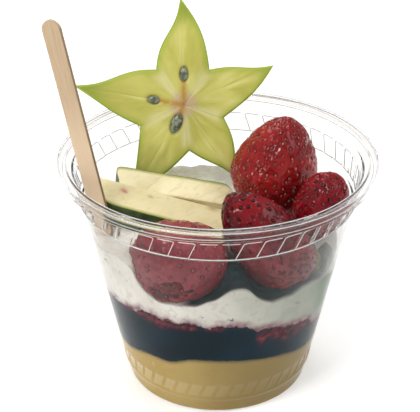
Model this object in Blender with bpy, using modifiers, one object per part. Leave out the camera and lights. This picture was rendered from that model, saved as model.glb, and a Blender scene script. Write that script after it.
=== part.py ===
"""A clear plastic dessert cup with its layers and fruit, at real size in metres.

The cup stands on z = 0 with its axis on Z and its front towards -Y. Angles are measured anticlockwise
from +X, seen from above, so the front of the cup is at -90 degrees. The cup holds custard, a dark berry
jelly and whipped cream. Strawberries, apple slices, a star-fruit slice and a wooden stirrer stand in them.
"""

import math

import bmesh
import bpy
from mathutils import Matrix, Vector

COLLECTION_NAME = "dessert_cup"
CLEARANCE = 0.0003  # left between any two pieces that touch
SHARPEST_CORNER = 2.0  # a cutter's corners move out by at most this many clearances

# Cup
CUP_HEIGHT = 0.0758
CUP_SEGMENTS = 45
WALL_THICKNESS = 0.0007
FLOOR_THICKNESS = 0.0009
CONE_RADIUS_AT_BASE = 0.0293  # the outer wall is a cone that grows by WALL_SLOPE for each metre of height
WALL_SLOPE = 0.2013
BASE_EDGE_RADIUS = 0.0012
FOOT_HEIGHT = 0.0054
FOOT_STEP = 0.0004  # how far the foot stands back from the cone
SHOULDER_HEIGHT = 0.0634
SHOULDER_STEP = 0.0007  # how far the wall steps out above the shoulder
STEP_RISE = 0.0005  # height over which the wall makes either step
RIM_RADIUS = 0.0490
RIM_INNER_RADIUS = 0.0457
RIM_DEPTH = 0.0028
RIM_ROUND = 0.0008

# Slanted windows pressed into the wall in two bands
WINDOW_COUNT = 45
WINDOW_SHARE = 0.80  # of the pitch
WINDOW_LEAN = math.radians(3.0)
WINDOW_DEPTH = 0.0003
WINDOW_BANDS = ((0.0642, 0.0697), (0.0069, 0.0120))

# Heights of the layers at the wall, as (degrees, metres)
CUSTARD_LEVEL = (
    (-150, 0.0177), (-129, 0.0204), (-115, 0.0205), (-103, 0.0232), (-78, 0.0230), (-54, 0.0210),
    (-31, 0.0182), (20, 0.0195), (80, 0.0215), (140, 0.0190),
)
JELLY_LEVEL = (
    (-148, 0.0357), (-128, 0.0379), (-100, 0.0376), (-79, 0.0369), (-67, 0.0344), (-44, 0.0315),
    (-25, 0.0267), (20, 0.0290), (80, 0.0335), (150, 0.0345),
)
CREAM_LEVEL = (
    (-148, 0.0545), (-138, 0.0560), (-130, 0.0545), (-126, 0.0486), (-120, 0.0452), (-107, 0.0442),
    (-93, 0.0468), (-81, 0.0519), (-68, 0.0454), (-61, 0.0444), (-48, 0.0462), (-38, 0.0458),
    (-22, 0.0440), (20, 0.0480), (80, 0.0510), (150, 0.0540),
)
CUSTARD_MIDDLE = 0.0208
JELLY_MIDDLE = 0.0330
CREAM_MIDDLE = 0.0530
CREAM_BUMP = 0.0012
CREAM_FALL_AT_BACK = 2.0  # a low power lowers the cream well before the wall
CREAM_FALL_AT_FRONT = 0.7
LAYER_SEGMENTS = 60
THIN_LAYER_RINGS = 3
CREAM_RINGS = 8

# Strawberries: centre, direction of the tip, width, tip half, stalk half, flattening across, how pointed
# the tip is, twist of the uneven sides
STRAWBERRIES = {
    "strawberry_back": (
        (0.0176, 0.0100, 0.0634), (0.24, 0.05, 0.97), 0.0136, 0.0203, 0.0130, 0.96, 0.66, 0.3,
    ),
    "strawberry_right": (
        (0.0312, -0.0072, 0.0622), (0.42, 0.05, 0.88), 0.0082, 0.0114, 0.0110, 0.95, 0.55, 1.1,
    ),
    "strawberry_centre": (
        (0.0186, -0.0197, 0.0514), (-0.62, 0.08, 0.78), 0.0112, 0.0254, 0.0106, 0.94, 0.54, 2.0,
    ),
    "strawberry_left": (
        (-0.0113, -0.0218, 0.0510), (0.16, -0.87, -0.44), 0.0142, 0.0128, 0.0102, 1.07, 0.50, 0.0,
    ),
}
DEEPEST_BERRY = "strawberry_left"  # the only one that reaches down into the jelly
BERRY_COLUMNS = 24
BERRY_ROWS = 14
DIMPLE_DEPTH = 0.00045
BERRY_WAVE = 0.03  # share of the width by which a berry is uneven
STALK_END_POWER = 0.45  # a low power makes a blunt end

# Apple slices: middle of the core edge, direction to the peel, direction along the slice, peel radius,
# core radius, half height of the apple, angle of the wedge, how square its ends are, how far they lean
APPLE_SLICES = {
    "apple_slice_front": (
        (-0.0150, 0.0034, 0.0598), (0.00, -1.00, -0.08), (1.00, -0.05, -0.27), 0.0330, 0.0192, 0.0225, 16, 8, 0.0,
    ),
    "apple_slice_rear": (
        (-0.0118, 0.0044, 0.0585), (0.04, 0.96, 0.27), (-1.00, 0.02, 0.17), 0.0298, 0.0198, 0.0188, 12, 20, 0.34,
    ),
    "apple_slice_side": (
        (0.0284, -0.0162, 0.0442), (0.87, -0.48, -0.17), (0.17, -0.10, 0.98), 0.0290, 0.0249, 0.0085, 14, 8, 0.0,
    ),
}
APPLE_SEGMENTS = 48

# Star-fruit slice. A side of a lobe runs from its waist to its tip, and swells outwards and curls by the
# given amounts. Angles are in degrees on the slice's face, anticlockwise from its right.
STAR_CENTRE = Vector((-0.0110, 0.0288, 0.0790))
STAR_LEAN = math.radians(24.0)
STAR_THICKNESS = 0.0055
STAR_WAISTS = ((-17, 0.0135), (54, 0.0141), (128, 0.0145), (206, 0.0156), (277, 0.0148))
STAR_LOBES = (  # angle and reach of the tip, swell and curl of the side before it, and of the side after it
    (24, 0.0316, 0.0014, -0.0001, 0.0001, 0.0004),
    (92, 0.0342, 0.0021, 0.0000, 0.0001, 0.0008),
    (170, 0.0363, 0.0000, 0.0008, 0.0006, 0.0002),
    (241, 0.0355, -0.0003, 0.0000, 0.0004, 0.0002),
    (306, 0.0290, -0.0003, 0.0003, 0.0014, 0.0002),
)
STAR_STEPS = 6  # points along each side of a lobe
STAR_SEEDS = (  # angle and distance from the centre, length and width
    (90, 0.0100, 0.0048, 0.0026), (170, 0.0099, 0.0040, 0.0026), (248, 0.0064, 0.0064, 0.0034),
)
STAR_SEED_RISE = 0.0004

# Wooden stirrer
STIRRER_TOP = Vector((-0.0462, -0.0160, 0.1243))
STIRRER_TOWARDS = Vector((-0.0366, -0.0120, 0.0679))
STIRRER_LENGTH = 0.100
STIRRER_WIDTH = 0.0057
STIRRER_THICKNESS = 0.0014
STIRRER_FACING = Vector((-0.35, -0.85, 0.30))
ROUND_END_STEPS = 8


def empty_the_scene():
    for thing in list(bpy.data.objects):
        bpy.data.objects.remove(thing, do_unlink=True)


def collection(name, hidden=False):
    made = bpy.data.collections.new(name)
    bpy.context.scene.collection.children.link(made)
    made.hide_render = hidden
    return made


def material(name, colour, roughness, alpha=1.0):
    made = bpy.data.materials.new(name)
    made.use_nodes = True
    shader = made.node_tree.nodes["Principled BSDF"]
    shader.inputs["Base Color"].default_value = (*colour, 1.0)
    shader.inputs["Roughness"].default_value = roughness
    shader.inputs["Metallic"].default_value = 0.0
    shader.inputs["Alpha"].default_value = alpha
    return made


def add_object(name, mesh, group, surface=None):
    thing = bpy.data.objects.new(name, mesh)
    group.objects.link(thing)
    if surface is not None:
        mesh.materials.append(surface)
    return thing


def mesh_of(name, body):
    """Makes a mesh with outward faces of a bmesh, and frees the bmesh."""
    bmesh.ops.recalc_face_normals(body, faces=body.faces)
    mesh = bpy.data.meshes.new(name)
    body.to_mesh(mesh)
    body.free()
    return mesh


def smooth(thing, angle=math.radians(40)):
    thing.data.shade_smooth()
    thing.data.set_sharp_from_angle(angle=angle)


def baked(thing):
    """Replaces a piece's mesh by the result of its modifiers."""
    graph = bpy.context.evaluated_depsgraph_get()
    result = bpy.data.meshes.new_from_object(thing.evaluated_get(graph))
    thing.modifiers.clear()
    thing.data = result


def largest_body(thing):
    """Removes the loose scraps that a cut leaves beside the main body."""
    body = bmesh.new()
    body.from_mesh(thing.data)
    left = set(body.verts)
    groups = []
    while left:
        found = {left.pop()}
        edge_of_search = list(found)
        while edge_of_search:
            vertex = edge_of_search.pop()
            for edge in vertex.link_edges:
                other = edge.other_vert(vertex)
                if other in left:
                    left.remove(other)
                    found.add(other)
                    edge_of_search.append(other)
        groups.append(found)
    groups.sort(key=len, reverse=True)
    scraps = [vertex for group in groups[1:] for vertex in group]
    bmesh.ops.delete(body, geom=scraps, context="VERTS")
    body.to_mesh(thing.data)
    body.free()


def cut(thing, cutter, solver="EXACT"):
    step = thing.modifiers.new("cut", "BOOLEAN")
    step.operation = "DIFFERENCE"
    step.solver = solver
    step.object = cutter


def grown_copy(thing, cutters, distance=CLEARANCE):
    """A cutter of the piece's shape, larger by the clearance on every side."""
    body = bmesh.new()
    body.from_mesh(thing.data)
    body.transform(thing.matrix_world)
    body.normal_update()
    offsets = []
    for vertex in body.verts:
        sharpness = min(vertex.calc_shell_factor(), SHARPEST_CORNER)
        offsets.append(vertex.normal * distance * sharpness)
    for vertex, offset in zip(body.verts, offsets):
        vertex.co += offset
    mesh = bpy.data.meshes.new(thing.name + "_room")
    body.to_mesh(mesh)
    body.free()
    copy = add_object(thing.name + "_room", mesh, cutters)
    copy.hide_render = True
    copy.display_type = "WIRE"
    return copy


def turned(axis_x, axis_z, place):
    """A placement whose Z is along axis_z and whose X is as near as can be to axis_x."""
    z = Vector(axis_z).normalized()
    x = Vector(axis_x)
    x = (x - z * x.dot(z)).normalized()
    y = z.cross(x)
    return Matrix.Translation(Vector(place)) @ Matrix((x, y, z)).transposed().to_4x4()


def cone_radius(height):
    """The outer radius of the wall, with the steps at the foot and at the shoulder."""
    radius = CONE_RADIUS_AT_BASE + WALL_SLOPE * height
    if height < FOOT_HEIGHT:
        radius -= FOOT_STEP
    if height > SHOULDER_HEIGHT:
        radius += SHOULDER_STEP
    return radius


def inner_radius(height):
    return cone_radius(height) - WALL_THICKNESS


def quarter_turn(centre_radius, centre_height, radius, start, steps=2):
    """Points of a rounded corner in the cup's profile, a quarter circle clockwise from start degrees."""
    points = []
    for step in range(steps + 1):
        angle = math.radians(start - 90 * step / steps)
        points.append((centre_radius + radius * math.cos(angle), centre_height + radius * math.sin(angle)))
    return points


def wall_line(offset, heights):
    return [(cone_radius(height) - offset, height) for height in heights]


def cup_profile():
    """Half the cup's section, from the middle of the floor up the inside and down the outside."""
    under_rim = CUP_HEIGHT - RIM_DEPTH
    breaks = (FOOT_HEIGHT - STEP_RISE, FOOT_HEIGHT + STEP_RISE, SHOULDER_HEIGHT - STEP_RISE)
    heights = (*breaks, SHOULDER_HEIGHT + STEP_RISE)
    floor_edge = inner_radius(FLOOR_THICKNESS) - BASE_EDGE_RADIUS
    inside = [(0.0, FLOOR_THICKNESS), (floor_edge, FLOOR_THICKNESS)]
    inside.append((inner_radius(FLOOR_THICKNESS + BASE_EDGE_RADIUS), FLOOR_THICKNESS + BASE_EDGE_RADIUS))
    inside += wall_line(WALL_THICKNESS, heights)
    inside.append((inner_radius(under_rim), under_rim))
    top_inner = quarter_turn(RIM_INNER_RADIUS + RIM_ROUND, CUP_HEIGHT - RIM_ROUND, RIM_ROUND, 180)
    top_outer = quarter_turn(RIM_RADIUS - RIM_ROUND, CUP_HEIGHT - RIM_ROUND, RIM_ROUND, 90)
    low_outer = quarter_turn(RIM_RADIUS - RIM_ROUND, under_rim + RIM_ROUND, RIM_ROUND, 0)
    outside = [(cone_radius(under_rim) + WALL_THICKNESS / 2, under_rim)]
    outside += wall_line(0.0, reversed(heights))
    base_edge = quarter_turn(cone_radius(0) - BASE_EDGE_RADIUS, BASE_EDGE_RADIUS, BASE_EDGE_RADIUS, 0)
    return inside + top_inner + top_outer + low_outer + outside + base_edge + [(0.0, 0.0)]


def window_cutters(cutters):
    """Shallow slanted blocks round the wall, which press the windows into it."""
    body = bmesh.new()
    pitch = 2 * math.pi / WINDOW_COUNT
    half = pitch * WINDOW_SHARE / 2
    for low, high in WINDOW_BANDS:
        for index in range(WINDOW_COUNT):
            middle = index * pitch
            block = bmesh.ops.create_cube(body, size=1.0)
            for vertex in block["verts"]:
                height = high if vertex.co.z > 0 else low
                depth = WINDOW_DEPTH * 2 if vertex.co.x > 0 else -WINDOW_DEPTH
                lean = WINDOW_LEAN if vertex.co.z > 0 else 0.0
                angle = middle + lean + math.copysign(half, vertex.co.y)
                radius = cone_radius(height) + depth
                vertex.co = (radius * math.cos(angle), radius * math.sin(angle), height)
    blocks = add_object("window_blocks", mesh_of("window_blocks", body), cutters)
    blocks.hide_render = True
    blocks.display_type = "WIRE"
    return blocks


def make_cup(parts, cutters):
    profile = bpy.data.meshes.new("cup_profile")
    points = [(radius, 0.0, height) for radius, height in cup_profile()]
    edges = [(index, index + 1) for index in range(len(points) - 1)]
    profile.from_pydata(points, edges, [])
    cup = add_object("cup", profile, parts, material("clear_plastic", (0.90, 0.92, 0.92), 0.05, 0.25))
    screw = cup.modifiers.new("turn", "SCREW")
    screw.axis = "Z"
    screw.steps = CUP_SEGMENTS
    screw.render_steps = CUP_SEGMENTS
    screw.use_merge_vertices = True
    screw.merge_threshold = 0.00001
    cut(cup, window_cutters(cutters))
    baked(cup)
    smooth(cup, math.radians(20))
    return cup


def level_at(levels, angle):
    """Height at an angle in degrees: a smooth closed curve through the given levels."""
    count = len(levels)
    angles = [degrees for degrees, _ in levels]
    heights = [height for _, height in levels]
    turn = (angle - angles[0]) % 360
    spans = [(angles[(index + 1) % count] - angles[index]) % 360 for index in range(count)]
    index = 0
    while turn > spans[index]:
        turn -= spans[index]
        index += 1
    slopes = []
    for at in (index, (index + 1) % count):
        rise = heights[(at + 1) % count] - heights[at - 1]
        slopes.append(rise / (spans[at - 1] + spans[at]))
    span = spans[index]
    share = turn / span
    start, end = heights[index], heights[(index + 1) % count]
    cube, square = share**3, share**2
    return (
        (2 * cube - 3 * square + 1) * start
        + (cube - 2 * square + share) * span * slopes[0]
        + (3 * square - 2 * cube) * end
        + (cube - square) * span * slopes[1]
    )


def custard_top(angle, share):
    return CUSTARD_MIDDLE + (level_at(CUSTARD_LEVEL, angle) - CUSTARD_MIDDLE) * share**2


def jelly_top(angle, share):
    return JELLY_MIDDLE + (level_at(JELLY_LEVEL, angle) - JELLY_MIDDLE) * share**2


def cream_top(angle, share):
    """The spooned surface of the cream: uneven mounds that fade towards the wall."""
    turn = math.radians(angle)
    mound = math.sin(3 * turn + 5 * share) + 0.6 * math.cos(5 * turn - 8 * share)
    frontness = (1 - math.sin(turn)) / 2
    power = CREAM_FALL_AT_BACK + (CREAM_FALL_AT_FRONT - CREAM_FALL_AT_BACK) * frontness
    base = CREAM_MIDDLE + (level_at(CREAM_LEVEL, angle) - CREAM_MIDDLE) * share**power
    return base + CREAM_BUMP * mound * share * (1 - share**4)


def ring(body, height_at, share):
    """One ring of a layer's surface, at a share of the way from the axis to the wall."""
    made = []
    for index in range(LAYER_SEGMENTS):
        angle = 360 * index / LAYER_SEGMENTS
        height = height_at(angle, share)
        radius = share * (inner_radius(height) - CLEARANCE)
        turn = math.radians(angle)
        made.append(body.verts.new((radius * math.cos(turn), radius * math.sin(turn), height)))
    return made


def make_layer(name, parts, surface, under, over, rings, side_heights=()):
    """A closed body between two wavy surfaces, filling the cup out to its wall."""
    body = bmesh.new()
    under_rings = [ring(body, under, (index + 1) / rings) for index in range(rings)]
    side_rings = [ring(body, lambda angle, share, level=height: level, 1.0) for height in side_heights]
    over_rings = [ring(body, over, (index + 1) / rings) for index in reversed(range(rings))]
    run = under_rings + side_rings + over_rings
    for first, second in zip(run, run[1:]):
        for index in range(LAYER_SEGMENTS):
            after = (index + 1) % LAYER_SEGMENTS
            body.faces.new((first[index], first[after], second[after], second[index]))
    for middle_height, edge in ((under(0, 0), run[0]), (over(0, 0), run[-1])):
        middle = body.verts.new((0, 0, middle_height))
        for index in range(LAYER_SEGMENTS):
            body.faces.new((middle, edge[index], edge[(index + 1) % LAYER_SEGMENTS]))
    bmesh.ops.triangulate(body, faces=body.faces)
    layer = add_object(name, mesh_of(name, body), parts, surface)
    smooth(layer)
    return layer


def make_layers(parts):
    custard = make_layer(
        "custard", parts, material("custard", (0.72, 0.50, 0.22), 0.45),
        lambda angle, share: FLOOR_THICKNESS + CLEARANCE + BASE_EDGE_RADIUS * share**16, custard_top,
        THIN_LAYER_RINGS, (FOOT_HEIGHT - STEP_RISE, FOOT_HEIGHT + STEP_RISE),
    )
    jelly = make_layer(
        "berry_jelly", parts, material("berry_jelly", (0.02, 0.015, 0.03), 0.20),
        lambda angle, share: custard_top(angle, share) + CLEARANCE, jelly_top, THIN_LAYER_RINGS,
    )
    cream = make_layer(
        "whipped_cream", parts, material("whipped_cream", (0.80, 0.76, 0.69), 0.55),
        lambda angle, share: jelly_top(angle, share) + CLEARANCE, cream_top, CREAM_RINGS,
    )
    return custard, jelly, cream


def berry_width(share, power):
    """A strawberry's width, as a share of its widest, at a share of the way out to either end."""
    return max(1 - share**2, 0.0) ** power


def make_strawberry(name, parts, surface, centre, tip, width, tip_half, stalk_half, flatness, point, twist):
    """A strawberry: broad at the stalk, blunt at the tip, with a seed pit at every other grid point."""
    body = bmesh.new()
    bmesh.ops.create_uvsphere(body, u_segments=BERRY_COLUMNS, v_segments=BERRY_ROWS, radius=1.0)
    for vertex in body.verts:
        x, y, z = vertex.co
        row = round(math.acos(max(-1.0, min(1.0, z))) / math.pi * BERRY_ROWS)
        turn = math.atan2(y, x)
        column = round(turn / (2 * math.pi) * BERRY_COLUMNS)
        wave = 1 + BERRY_WAVE * (math.sin(3 * turn + twist) + math.sin(2 * turn - 4 * z + 5 * twist))
        along = abs(z) ** 1.1
        reach = width * berry_width(along, point if z > 0 else STALK_END_POWER) * wave
        pitted = (row + column) % 2 == 0 and 0 < row < BERRY_ROWS
        if pitted:
            reach -= DIMPLE_DEPTH
        height = along * (tip_half if z > 0 else -stalk_half)
        vertex.co = (reach * math.cos(turn), reach * math.sin(turn) * flatness, height)
    bmesh.ops.triangulate(body, faces=body.faces)
    mesh = mesh_of(name, body)
    berry = add_object(name, mesh, parts, surface)
    berry.matrix_world = turned((1, 0, 0.01), tip, centre)
    smooth(berry, math.radians(80))
    return berry


def apple_radius(height, radius, half_height, squareness):
    """The peel's distance from the core line: a squarish oval."""
    share = min(abs(height) / half_height, 1.0)
    return radius * (1 - share**squareness) ** (1 / squareness)


def make_apple_slice(name, parts, surfaces, core, outwards, along, radius, core_radius, half_height, *ends):
    """A wedge of apple: two cut faces that meet the peel, with the core trimmed off flat."""
    wedge, squareness, lean = ends
    body = bmesh.new()
    bmesh.ops.create_uvsphere(body, u_segments=APPLE_SEGMENTS, v_segments=APPLE_SEGMENTS // 3, radius=1.0)
    for vertex in body.verts:
        x, y, z = vertex.co
        turn = math.atan2(y, x)
        height = half_height * z
        reach = apple_radius(height, radius, half_height, squareness)
        across = reach * math.cos(turn)
        vertex.co = (across, reach * math.sin(turn), height + lean * (across - core_radius))
    angle = math.radians(wedge)
    planes = (
        ((0, 0, 0), (0, -1, 0)),
        ((0, 0, 0), (-math.sin(angle), math.cos(angle), 0)),
        ((core_radius, 0, 0), (-1, 0, 0)),
    )
    for point, normal in planes:
        everything = list(body.verts) + list(body.edges) + list(body.faces)
        bmesh.ops.bisect_plane(body, geom=everything, plane_co=point, plane_no=normal, clear_outer=True)
        open_edges = [edge for edge in body.edges if edge.is_boundary]
        filled = bmesh.ops.edgeloop_fill(body, edges=open_edges)
        for face in filled["faces"]:
            face.material_index = 1
    bmesh.ops.remove_doubles(body, verts=body.verts, dist=0.00002)
    bmesh.ops.triangulate(body, faces=body.faces)
    piece = add_object(name, mesh_of(name, body), parts)
    for surface in surfaces:
        piece.data.materials.append(surface)
    place = turned(outwards, along, (0, 0, 0))
    core_edge = place @ Vector((core_radius, 0, 0))
    piece.matrix_world = Matrix.Translation(Vector(core) - core_edge) @ place
    smooth(piece)
    return piece


def on_face(degrees, reach):
    angle = math.radians(degrees)
    return Vector((math.cos(angle), math.sin(angle))) * reach


def lobe_side(waist, tip, swell, curl):
    """Points from the waist towards the tip, bent outwards by the swell and into an S by the curl."""
    outwards = (tip - waist).orthogonal().normalized()
    if outwards.dot(waist) < 0:
        outwards = -outwards
    points = []
    for step in range(STAR_STEPS):
        share = step / STAR_STEPS
        bend = swell * math.sin(math.pi * share) + curl * math.sin(2 * math.pi * share)
        points.append(waist.lerp(tip, share) + outwards * bend)
    return points


def star_outline():
    """The five-lobed outline, from one waist over a lobe's tip to the next, all the way round."""
    points = []
    for index, (angle, reach, swell, curl, swell_after, curl_after) in enumerate(STAR_LOBES):
        tip = on_face(angle, reach)
        points += lobe_side(on_face(*STAR_WAISTS[index]), tip, swell, curl)
        points.append(tip)
        next_waist = on_face(*STAR_WAISTS[(index + 1) % len(STAR_WAISTS)])
        points += lobe_side(next_waist, tip, swell_after, curl_after)[:0:-1]
    return points


def make_star(parts):
    body = bmesh.new()
    rim = [body.verts.new((x, y, 0)) for x, y in star_outline()]
    face = body.faces.new(rim)
    lifted = bmesh.ops.extrude_face_region(body, geom=[face])["geom"]
    for vertex in lifted:
        if isinstance(vertex, bmesh.types.BMVert):
            vertex.co.z += STAR_THICKNESS
    bmesh.ops.triangulate(body, faces=body.faces)
    slice_surface = material("star_fruit", (0.55, 0.53, 0.12), 0.35)
    star = add_object("star_fruit_slice", mesh_of("star_fruit_slice", body), parts, slice_surface)
    for sizes in STAR_SEEDS:
        add_star_seed(star, *sizes)
    baked(star)
    star.matrix_world = star_placement()
    smooth(star, math.radians(12))
    return star


def star_placement():
    """The slice's face looks at the front of the cup and leans back."""
    facing = (0, -math.cos(STAR_LEAN), math.sin(STAR_LEAN))
    place = turned((1, 0, 0), facing, STAR_CENTRE)
    return place @ Matrix.Translation((0, 0, -STAR_THICKNESS / 2))


def add_star_seed(star, degrees, reach, length, width):
    """Fuses a seed, a flat oval with its length towards the centre, to the front face of the slice."""
    body = bmesh.new()
    bmesh.ops.create_uvsphere(body, u_segments=10, v_segments=6, radius=0.5)
    size = Matrix.Diagonal((length, width, STAR_SEED_RISE * 4, 1))
    middle = (*on_face(degrees, reach), STAR_THICKNESS - STAR_SEED_RISE)
    turn = Matrix.Rotation(math.radians(degrees), 4, "Z")
    body.transform(Matrix.Translation(middle) @ turn @ size)
    seed = bpy.data.objects.new("seed", mesh_of("seed", body))
    bpy.context.scene.collection.objects.link(seed)
    union = star.modifiers.new("seed", "BOOLEAN")
    union.operation = "UNION"
    union.solver = "EXACT"
    union.object = seed
    baked(star)
    bpy.data.objects.remove(seed, do_unlink=True)


def make_stirrer(parts):
    """A flat birch stick with round ends."""
    half = STIRRER_WIDTH / 2
    points = []
    for centre, start in ((-half, -90), (half - STIRRER_LENGTH, 90)):
        for step in range(ROUND_END_STEPS + 1):
            angle = math.radians(start + 180 * step / ROUND_END_STEPS)
            points.append((centre + half * math.cos(angle), half * math.sin(angle), 0.0, 1.0))
    curve = bpy.data.curves.new("wooden_stirrer", "CURVE")
    curve.dimensions = "2D"
    curve.fill_mode = "BOTH"
    curve.extrude = STIRRER_THICKNESS / 2
    outline = curve.splines.new("POLY")
    outline.points.add(len(points) - 1)
    for point, place in zip(outline.points, points):
        point.co = place
    outline.use_cyclic_u = True
    guide = bpy.data.objects.new("stirrer_outline", curve)
    parts.objects.link(guide)
    graph = bpy.context.evaluated_depsgraph_get()
    mesh = bpy.data.meshes.new_from_object(guide.evaluated_get(graph))
    bpy.data.objects.remove(guide, do_unlink=True)
    body = bmesh.new()
    body.from_mesh(mesh)
    bmesh.ops.remove_doubles(body, verts=body.verts, dist=0.00001)
    wood = material("birch_wood", (0.66, 0.50, 0.33), 0.6)
    stirrer = add_object("wooden_stirrer", mesh_of("wooden_stirrer", body), parts, wood)
    upwards = (STIRRER_TOP - STIRRER_TOWARDS).normalized()
    across = upwards.cross(STIRRER_FACING).normalized()
    facing = across.cross(upwards)
    turn = Matrix((upwards, -across, facing)).transposed().to_4x4()
    stirrer.matrix_world = Matrix.Translation(STIRRER_TOP) @ turn
    return stirrer


def main():
    empty_the_scene()
    parts = collection(COLLECTION_NAME)
    cutters = collection("cutters", hidden=True)
    make_cup(parts, cutters)
    custard, jelly, cream = make_layers(parts)

    berry_red = material("strawberry", (0.36, 0.03, 0.03), 0.30)
    pieces = [make_strawberry(name, parts, berry_red, *sizes) for name, sizes in STRAWBERRIES.items()]
    peel = material("apple_peel", (0.06, 0.10, 0.03), 0.35)
    flesh = material("apple_flesh", (0.80, 0.70, 0.45), 0.50)
    for name, sizes in APPLE_SLICES.items():
        pieces.append(make_apple_slice(name, parts, (peel, flesh), *sizes))
    pieces.append(make_star(parts))
    stirrer = make_stirrer(parts)
    pieces.append(stirrer)
    bpy.context.view_layer.update()

    rooms = {piece.name: grown_copy(piece, cutters) for piece in pieces}
    for room in rooms.values():
        cut(cream, room)
    for layer in (custard, jelly):
        cut(layer, rooms[stirrer.name])
    cut(jelly, rooms[DEEPEST_BERRY])
    for layer in (custard, jelly, cream):
        baked(layer)
        largest_body(layer)
        smooth(layer)


main()
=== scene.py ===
# %% [markdown]
# # A layered dessert cup
# A clear plastic cup holds custard, a dark berry jelly and whipped cream. Strawberries, apple slices,
# a slice of star fruit and a flat wooden stirrer stand in the cream. The solid model comes in as a
# fixed frame. This lesson makes the fine surfaces over it and gives each one its finish.

# %% The frame
import math

import bpy
import numpy as np
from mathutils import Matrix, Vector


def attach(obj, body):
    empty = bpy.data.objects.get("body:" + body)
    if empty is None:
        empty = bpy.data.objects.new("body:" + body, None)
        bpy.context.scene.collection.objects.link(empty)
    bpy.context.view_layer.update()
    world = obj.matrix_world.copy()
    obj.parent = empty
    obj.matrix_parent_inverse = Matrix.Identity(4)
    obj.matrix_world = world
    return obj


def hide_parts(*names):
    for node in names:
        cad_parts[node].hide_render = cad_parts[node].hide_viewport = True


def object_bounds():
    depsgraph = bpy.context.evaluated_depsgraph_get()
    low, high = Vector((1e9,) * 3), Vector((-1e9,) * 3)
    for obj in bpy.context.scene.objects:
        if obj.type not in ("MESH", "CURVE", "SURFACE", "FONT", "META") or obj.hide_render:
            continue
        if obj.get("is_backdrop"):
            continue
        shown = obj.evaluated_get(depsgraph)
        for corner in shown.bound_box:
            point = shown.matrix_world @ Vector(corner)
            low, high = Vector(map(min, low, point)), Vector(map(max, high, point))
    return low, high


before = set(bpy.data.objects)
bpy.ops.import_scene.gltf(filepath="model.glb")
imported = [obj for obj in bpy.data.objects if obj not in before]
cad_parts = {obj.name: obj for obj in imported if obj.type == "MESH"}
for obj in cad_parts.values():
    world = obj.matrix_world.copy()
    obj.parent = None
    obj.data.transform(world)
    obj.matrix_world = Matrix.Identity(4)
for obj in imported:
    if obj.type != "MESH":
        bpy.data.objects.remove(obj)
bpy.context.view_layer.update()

BODY = "root"
MM = 0.001
print("solid nodes:", sorted(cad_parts))

# %% [markdown]
# ## Meshes from arrays
# Every piece below is worked out as whole arrays: rows of points that run round or along the piece.
# One function joins neighbouring rows by four-sided faces and closes the two ends with fans, so that
# each piece is a closed body. A float that follows the surface, such as how near a point is to the
# peel, is kept on the points for the materials to read.

# %% Rows of points to a closed mesh
def closed_mesh(name, rows):
    """Joins rows of points, each a closed loop, and closes both ends at the mean of the end row."""
    count, around = rows.shape[:2]
    ends = np.stack([rows[0].mean(0), rows[-1].mean(0)])
    points = np.concatenate([rows.reshape(-1, 3), ends])
    first, column = np.meshgrid(np.arange(count - 1), np.arange(around), indexing="ij")
    after = (column + 1) % around
    here, over = first * around, (first + 1) * around
    quads = np.stack([here + column, here + after, over + after, over + column], -1).reshape(-1, 4)
    ring = np.arange(around)
    turn = (ring + 1) % around
    last = (count - 1) * around
    low = np.stack([np.full(around, count * around), turn, ring], -1)
    high = np.stack([np.full(around, count * around + 1), last + ring, last + turn], -1)
    corners = np.concatenate([quads.ravel(), low.ravel(), high.ravel()]).astype(np.int32)
    sizes = np.concatenate([np.full(len(quads), 4), np.full(2 * around, 3)])
    starts = (np.cumsum(sizes) - sizes).astype(np.int32)
    mesh = bpy.data.meshes.new(name)
    mesh.vertices.add(len(points))
    mesh.vertices.foreach_set("co", points.astype(np.float32).ravel())
    mesh.loops.add(len(corners))
    mesh.loops.foreach_set("vertex_index", corners)
    mesh.polygons.add(len(sizes))
    mesh.polygons.foreach_set("loop_start", starts)
    mesh.update(calc_edges=True)
    mesh.validate()
    outwards(mesh)
    mesh.shade_smooth()
    return mesh


def outwards(mesh):
    """Flips every face where the signed volume, the sum of a . (b x c) / 6 over triangles, is negative."""
    mesh.calc_loop_triangles()
    corners = np.empty(len(mesh.loop_triangles) * 3, np.int32)
    mesh.loop_triangles.foreach_get("vertices", corners)
    points = np.empty(len(mesh.vertices) * 3, np.float32)
    mesh.vertices.foreach_get("co", points)
    a, b, c = points.reshape(-1, 3).astype(float)[corners.reshape(-1, 3)].transpose(1, 0, 2)
    if np.einsum("ij,ij->", a, np.cross(b, c)) < 0:
        mesh.flip_normals()


def keep(mesh, name, values):
    """Stores one number for each point of the rows. The two end points take the mean of their row."""
    flat = np.concatenate([values.ravel(), [values[0].mean(), values[-1].mean()]])
    layer = mesh.attributes.new(name, "FLOAT", "POINT")
    layer.data.foreach_set("value", flat.astype(np.float32))


def add_piece(mesh, surface, nodes=()):
    """Makes the mesh a piece of the object, which rides on its body and may stand for solid nodes."""
    piece = bpy.data.objects.new(mesh.name, mesh)
    bpy.context.scene.collection.objects.link(piece)
    mesh.materials.append(surface)
    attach(piece, BODY)
    if nodes:
        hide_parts(*nodes)
    mesh.calc_loop_triangles()
    print(f"{mesh.name}: {len(mesh.loop_triangles)} triangles")
    return piece


# %% Curves and waves
def smooth(value, low, high):
    """The smooth step 3t^2 - 2t^3, where t runs from 0 at low to 1 at high."""
    t = np.clip((value - low) / (high - low), 0, 1)
    return t * t * (3 - 2 * t)


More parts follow.
